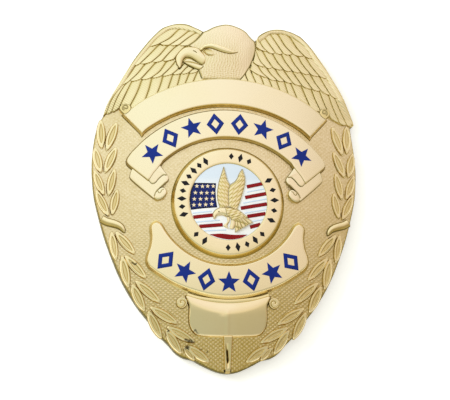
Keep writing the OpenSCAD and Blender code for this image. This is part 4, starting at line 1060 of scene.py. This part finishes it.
eye_middle = on_seal((-2.1, -2.3))
bird_eye = wheel(arc_line(eye_middle, 0.16, 0, 360, 17)[:-1], eye_middle, [0, 0.6, 1.0],
                 [1.43, 1.42, 1.36], patina=[1.0, 1.0, 0.8])
leg_lines = [([(-0.42, -3.44), (-0.35, -4.36), (-1.1, -5.05), (-1.1, -5.4), (-0.08, -5.85)],
              [(0.26, -3.43), (0.18, -4.2), (-0.2, -4.96), (-0.3, -5.3), (-0.02, -5.85)]),
             ([(0.41, -4.04), (0.4, -4.65), (0.2, -5.3), (0.17, -5.86)],
              [(1.31, -4.17), (1.38, -4.93), (1.2, -5.5), (1.0, -5.9)])]
bird_legs = [blade_form(on_seal(smooth_line(one, 20)), on_seal(smooth_line(two, 20)), 1.0, 0.25, 0.4, 12,
                        skirt=WIRE[:1])
             for one, two in leg_lines]
bird = [left_raised, right_raised, bird_body, bird_head, bird_eye] + bird_tail + bird_legs


def star_outline(radius, waist=0.4):
    """Five-pointed star: ten corners, every second one at a share of the radius, with points between
    them."""
    a = np.radians(90 + 36 * np.arange(11))
    reach = radius * np.where(np.arange(11) % 2, waist, 1.0)
    return even_line(np.column_stack([reach * np.cos(a), reach * np.sin(a)]), 41)[:-1]


star_places = [(-6.67, 3.2), (-5.5, 3.15), (-4.4, 3.2), (-3.23, 3.22),
               (-7.0, 1.78), (-5.75, 1.75), (-4.58, 1.76), (-3.35, 1.77),
               (-7.22, 0.42), (-5.93, 0.43), (-4.7, 0.48), (-3.45, 0.5),
               (-7.32, -0.86), (-6.1, -0.8), (-4.85, -0.77), (-3.6, -0.65)]
stars = [wheel(star_outline(0.56) + on_seal(at), on_seal(at), [0, 0.9, 1.0], [1.14, 1.14, 1.0])
         for at in star_places]
# Seal gilt is polished a little less than the scrolls, so the ring looks an even, warmer gold; its wall's
# deeper gold is a painted reflection, and the angle at its foot painted shade
seal_gilt, *_ = gilt_finish("seal_gilt", ("#FDEDC6", "#DCC678", "#5E5020"), 0.18, 0.4, 1.2, 0.003)
piece("seal_ring", [ring], seal_gilt, ["seal_disc"])
piece("seal_bird_and_stars", bird + stars, seal_gilt)


# Enamel of the seal
# Resin enamel run into the sunk picture and polished almost level with the ring: a pale sky and pale
# stripes, dark red stripes, a blue field behind the stars with a near-black edge, and black marks in the
# ring.


def enamel_finish(name, colour, darker):
    """Resin enamel: an even colour, polished but not glassy, with the faintest cloudiness. The mesh's shade
    attribute blends it towards the second colour: shade painted along each fill's edge, and on the sky its
    own bluer top and pale lines."""
    made, tree, shader = new_finish(name, Roughness=0.25, Specular_IOR_Level=0.2)
    place = add_node(tree, "ShaderNodeTexCoord").outputs["Object"]
    cloud = add_node(tree, "ShaderNodeTexNoise", {"Vector": place, "Scale": 1 / (1.6 * MM), "Detail": 2.0})
    patina = add_node(tree, "ShaderNodeAttribute", attribute_name="patina").outputs["Fac"]
    haze = add_node(tree, "ShaderNodeMapRange", {
        "Value": cloud.outputs["Fac"], "From Min": 0.35, "From Max": 0.7, "To Min": 0.0, "To Max": 0.25})
    depth = add_node(tree, "ShaderNodeMath", {
        0: patina, 1: haze.outputs[0]}, operation="MAXIMUM", use_clamp=True)
    mix = add_node(tree, "ShaderNodeMix", {
        "Factor": depth.outputs[0], "A": linear(colour), "B": linear(darker)}, data_type="RGBA")
    tree.links.new(mix.outputs["Result"], shader.inputs["Base Color"])
    return made


def fill(outline, centre, lift, bulge=0.03, edge=0.05):
    """One enamel fill: a shallow pillow over an outline, with shade painted darker at its edge, whose side
    goes down into the metal."""
    reach = np.hypot(*(outline - centre).T).mean()
    inner = 1 - edge / reach
    lifts = [lift + bulge, lift + 0.8 * bulge, lift + 0.3 * bulge, lift, lift - 0.05]
    return wheel(outline, centre, [0, 0.5, inner * 0.93, inner, 1.0], lifts, patina=[0, 0, 0, 0.3, 1.0])


def bar(line, half_width, lift, tone=0.0):
    """A stripe of enamel along a line, slightly crowned, with shade painted darker along its edge."""
    path = even_line(line, 24)
    v = np.array([-1, -0.9, -0.6, 0, 0.6, 0.9, 1])
    ahead = np.gradient(path, axis=0)
    ahead /= np.hypot(*ahead.T)[:, None]
    x = path[None, :, 0] - v[:, None] * half_width * -ahead[None, :, 1]
    y = path[None, :, 1] - v[:, None] * half_width * ahead[None, :, 0]
    height = lift + 0.03 * (1 - v**2)[:, None] * np.ones(24)[None]
    tones = np.broadcast_to(np.maximum(v**8, tone)[:, None], x.shape)
    return struck_form(x, y, height, skirt=[(0.02, 0.97, 0.8)], patina=tones)


sky_edge = arc_line(SEAL, PICTURE, 0, 360, 145)[:-1]
sky = enamel_finish("pale_sky_enamel", "#F6F7FA", "#BFD6F2")
sky_shares = np.linspace(0, 1, 34)
sky_y = sky_shares[:, None] * (sky_edge - SEAL)[None, :, 1]
sky_tone = np.clip((sky_y - 2.0) / 5.5, 0, 0.6)
pale_lines = [[(3.9, 2.1), (7.6, 2.9)], [(3.1, -0.3), (8.1, 0.75)], [(3.4, -2.45), (8.0, -1.55)],
              [(4.2, -4.4), (7.2, -3.7)], [(-7.6, -2.6), (-3.6, -2.15)], [(-6.9, -4.5), (-1.9, -4.05)],
              [(-5.2, -6.35), (-0.6, -6.1)]]
stripe_lines = [[(3.93, 3.24), (7.32, 4.05)], [(3.52, 0.9), (8.06, 1.9)], [(2.58, -1.43), (8.17, -0.34)],
                [(3.93, -3.16), (7.83, -2.43)], [(4.5, -5.43), (6.73, -4.76)],
                [(-7.43, -3.46), (-3.3, -2.98)], [(-6.2, -5.43), (-1.3, -5.01)]]
crescent_low = smooth_line([(-4.05, -7.1), (-2.0, -7.8), (0.3, -8.1), (2.5, -7.75), (3.9, -7.05)], 40)
crescent_high = smooth_line([(-4.05, -7.1), (-1.7, -6.92), (1.0, -7.12), (3.9, -7.05)], 40)
red = enamel_finish("dark_red_enamel", "#8C0810", "#560409")
sky_fill = wheel(sky_edge, SEAL, sky_shares, [1.05] * len(sky_shares), patina=sky_tone)
piece("seal_sky_fill", [sky_fill] + [bar(on_seal(line), 0.14, 1.06, 0.8) for line in pale_lines], sky,
      ["seal_sky"])
stripes = [bar(on_seal(line), 0.38, 1.08) for line in stripe_lines]
stripes.append(struck_form(*loft(on_seal(crescent_low), on_seal(crescent_high), np.linspace(0, 1, 9)), 1.09,
                           skirt=[(0.02, 0.97, 0.8)]))
piece("seal_stripe_fills", stripes, red, ["seal_stripes"])
canton_edge = even_line([(-7.2, 3.95), (-2.6, 3.9), (-2.75, 2.2), (-2.65, 0.2), (-2.4, -1.35),
                         (-5.2, -1.55), (-7.9, -1.9), (-8.1, -1.2), (-8.22, 0.4), (-7.95, 2.4),
                         (-7.2, 3.95)], 121)[:-1]
canton_middle = on_seal((-5.2, 1.1))
navy = enamel_finish("canton_enamel", "#12246A", "#070A18")
canton = wheel(canton_edge + SEAL, canton_middle, [0, 0.5, 0.82, 0.9, 0.97, 1.0],
               [1.1, 1.1, 1.1, 1.1, 1.09, 1.05], patina=[0, 0, 0, 0.4, 1, 1])
piece("seal_canton_fill", [canton], navy, ["seal_canton"])
MARK_REACH = 9.85  # mm from the seal's middle
mark_angles = [197, 187, 177, 167, 157, 147.5, 138, 128.5, 119, 86, 74.5, 63, 29, 16, 3, -10, -23, 226, 239,
               269, 281, 293, 304.5, 316]
black = enamel_finish("black_enamel", "#15141A", "#050507")


def lozenge_outline(half_width, half_height, turn, middle):
    """A lozenge turned by some degrees and placed at its middle, with points along its sides."""
    corners = np.array([(half_width, 0), (0, half_height), (-half_width, 0), (0, -half_height),
                        (half_width, 0)])
    c, s = np.cos(np.radians(turn)), np.sin(np.radians(turn))
    return (even_line(corners, 33) @ np.array([[c, s], [-s, c]]))[:-1] + middle


marks = []
for i, angle in enumerate(mark_angles):
    middle = on_seal((MARK_REACH * np.cos(np.radians(angle)), MARK_REACH * np.sin(np.radians(angle))))
    outline = lozenge_outline(0.58, 0.78 if i % 2 else 1.08, angle - 90, middle)
    marks.append(fill(outline, middle, 1.165, 0.01))
piece("seal_ring_marks", marks, black, ["seal_marks"])


# Blue ornaments
# Stars and open lozenges in royal blue resin enamel, filled into the two scrolls and polished almost level,
# each with a thin dark line where the enamel meets the metal.

# Right half of each row: x and y of the middle, turn in degrees, and 0 for a star or 1 for an open lozenge
upper_half = [(2.6, 14.25, -6, 1), (7.6, 13.3, -17, 0), (12.2, 11, -28, 1), (16, 7.7, -39, 0)]
lower_half = [(4.7, -19.3, 14, 1), (9.2, -17.7, 28, 0), (13.2, -15.3, 43, 1)]


def whole_row(half, middle=()):
    """The places of one scroll's ornaments from left to right, by mirroring those of its right half."""
    return [(-x, y, -turn, kind) for x, y, turn, kind in half[::-1]] + list(middle) + half


def open_lozenge(middle, turn, lift):
    """A lozenge frame: rings from its inner outline up over the enamel and down its outer side, with shade
    painted dark down both sides.
    """
    shares = [1.0, 1.0, 0.96, 0.75, 0.48, 0.44, 0.42, 0.42]
    lifts = [SUNK, lift - 0.05, lift, lift + 0.03, lift + 0.02, lift, lift - 0.05, SUNK]
    outline = lozenge_outline(1.95, 2.5, turn, (0, 0))
    flat = np.stack([outline * s for s in shares[::-1]]) + middle
    z = field_height(flat[..., 0], flat[..., 1], np.array(lifts[::-1])[:, None])
    tones = np.repeat([1, 1, 0.4, 0, 0, 0.3, 1, 1], len(outline))
    faces = grid_faces(len(shares), len(outline), closed_rows=True, closed_columns=True)
    return np.dstack([flat, z]).reshape(-1, 3), faces, tones


def ornaments(places, lift):
    """Every ornament of one scroll, turned and placed."""
    made = []
    for x, y, turn, kind in places:
        c, s = np.cos(np.radians(turn)), np.sin(np.radians(turn))
        star = star_outline(2.45, 0.43) @ np.array([[c, s], [-s, c]]) + (x, y)
        middle = np.array([x, y])
        made.append(open_lozenge(middle, turn, lift) if kind else fill(star, middle, lift))
    return made


royal = enamel_finish("royal_blue_enamel", "#0A2A88", "#060F38")
piece("blue_upper_fills", ornaments(whole_row(upper_half), 1.17), royal, ["blue_upper"])
piece("blue_lower_fills", ornaments(whole_row(lower_half, [(0, -19.9, 0, 0)]), 1.22), royal,
      ["blue_lower"])


# Pin
# A steel wire between two feet, plated pale gold, that crosses the hollow back. It is one plain piece and
# keeps the mesh that it has in the frame.

pin_gilt, *_ = gilt_finish("plated_pin_steel", ("#D8C9A0", "#B8A678", "#8C7A4C"), 0.25, 0.4, 0.8, 0.01)
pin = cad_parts["pin_clasp"]
pin.data.materials.clear()
pin.data.materials.append(pin_gilt)


# Stage, light and camera
# A plain white table in a white room that is bright beyond the badge's top, dim olive past its foot, and
# dimmer and warmer to the right. The camera looks at the badge from a little below and to the left.

TABLE = 1.5  # m, half its width
floor_mesh = bpy.data.meshes.new("floor")
floor_mesh.from_pydata([(-TABLE, -TABLE, 0), (TABLE, -TABLE, 0), (TABLE, TABLE, 0), (-TABLE, TABLE, 0)], [],
                       [(0, 1, 2, 3)])
floor = bpy.data.objects.new("floor", floor_mesh)
bpy.context.scene.collection.objects.link(floor)
white_table, *_ = new_finish("white_table", Base_Color=(0.9, 0.9, 0.9, 1), Roughness=0.6,
                             Emission_Color=(1, 1, 1, 1), Emission_Strength=0.4)
floor_mesh.materials.append(white_table)

room = bpy.data.worlds.new("white_room")
bpy.context.scene.world = room
room.use_nodes = True
tree = room.node_tree
direction = add_node(tree, "ShaderNodeTexCoord").outputs["Generated"]
split = add_node(tree, "ShaderNodeSeparateXYZ", {"Vector": direction})
# The room's light by direction, from -1 to 1 along the badge and across it; the two are multiplied
ALONG_ROOM = [(-1.0, (0.85, 0.83, 0.72)), (-0.6, (0.68, 0.67, 0.57)), (-0.3, (0.52, 0.52, 0.42)),
              (-0.13, (0.55, 0.54, 0.42)), (-0.07, (0.84, 0.79, 0.64)), (0.0, (0.91, 0.87, 0.76)),
              (0.1, (0.94, 0.89, 0.83)), (0.22, (0.98, 0.94, 0.91)), (0.36, (0.99, 0.98, 0.95)),
              (0.5, (1.0, 1.0, 0.97)), (1.0, (1.0, 1.0, 1.0))]
ACROSS_ROOM = [(-1.0, (1.0, 1.03, 0.98)), (-0.5, (1.0, 1.06, 1.0)), (-0.19, (1.0, 1.07, 1.04)),
               (0.12, (1, 1, 1)), (0.42, (0.92, 0.87, 0.83)), (0.55, (0.78, 0.72, 0.64)),
               (1.0, (0.75, 0.7, 0.6))]
shades = []
for axis, room_stops in (("Y", ALONG_ROOM), ("X", ACROSS_ROOM)):
    share = add_node(tree, "ShaderNodeMapRange", {
        "Value": split.outputs[axis], "From Min": -1.0, "From Max": 1.0})
    ramp = add_node(tree, "ShaderNodeValToRGB", {"Fac": share.outputs[0]})
    stops = ramp.color_ramp.elements
    stops[0].color, stops[1].color = (*room_stops[0][1], 1), (*room_stops[-1][1], 1)
    for towards, shade in room_stops[1:-1]:
        stops.new((towards + 1) / 2).color = (*shade, 1)
    shades.append(ramp.outputs["Color"])
both = add_node(tree, "ShaderNodeMix", {"Factor": 1.0, "A": shades[0], "B": shades[1]}, data_type="RGBA",
                blend_type="MULTIPLY")
tree.links.new(both.outputs["Result"], tree.nodes["Background"].inputs["Color"])

lamp = bpy.data.lights.new("low_softbox", "AREA")
lamp.size, lamp.energy = 0.6, 10.0
softbox = bpy.data.objects.new("low_softbox", lamp)
lamp_place = np.array([-0.9, 0.55, 0.5])  # m, far to the left and beyond the badge's top
facing = lamp_place / np.linalg.norm(lamp_place)
level = np.cross((0, 0, 1), facing)
level /= np.linalg.norm(level)
turned = Matrix(np.column_stack([level, np.cross(facing, level), facing]).tolist()).to_4x4()
softbox.matrix_world = Matrix.Translation(lamp_place) @ turned
softbox.visible_glossy = False
bpy.context.scene.collection.objects.link(softbox)

CAMERA_DISTANCE = 0.3        # m
FOCAL_LENGTH = 113.58        # mm, on a sensor 36 mm wide
SHIFT = (-0.0064, -0.02307)  # of the sensor's width
TILT_LEFT = 0.12481          # radians
TILT_DOWN = np.radians(-14)
ROLL = -0.011356             # radians
toward_camera = np.array([-np.sin(TILT_LEFT) * np.cos(TILT_DOWN), np.sin(TILT_DOWN),
                          np.cos(TILT_LEFT) * np.cos(TILT_DOWN)])
right = np.cross(-toward_camera, (0, 1, 0))
right /= np.linalg.norm(right)
up = np.cross(right, -toward_camera)
turned_right = np.cos(ROLL) * right + np.sin(ROLL) * up
turned_up = np.cos(ROLL) * up - np.sin(ROLL) * right
lens = bpy.data.cameras.new("camera")
lens.lens, lens.sensor_width = FOCAL_LENGTH, 36
lens.shift_x, lens.shift_y = SHIFT
lens.clip_start, lens.clip_end = 0.01, 10
camera = bpy.data.objects.new("camera", lens)
stand = Matrix(np.column_stack([turned_right, turned_up, toward_camera]).tolist()).to_4x4()
aim = np.array([0, 0, CROWN * MM])
camera.matrix_world = Matrix.Translation(aim + CAMERA_DISTANCE * toward_camera) @ stand
bpy.context.scene.collection.objects.link(camera)
bpy.context.scene.camera = camera
bpy.context.scene.view_settings.view_transform = "Standard"
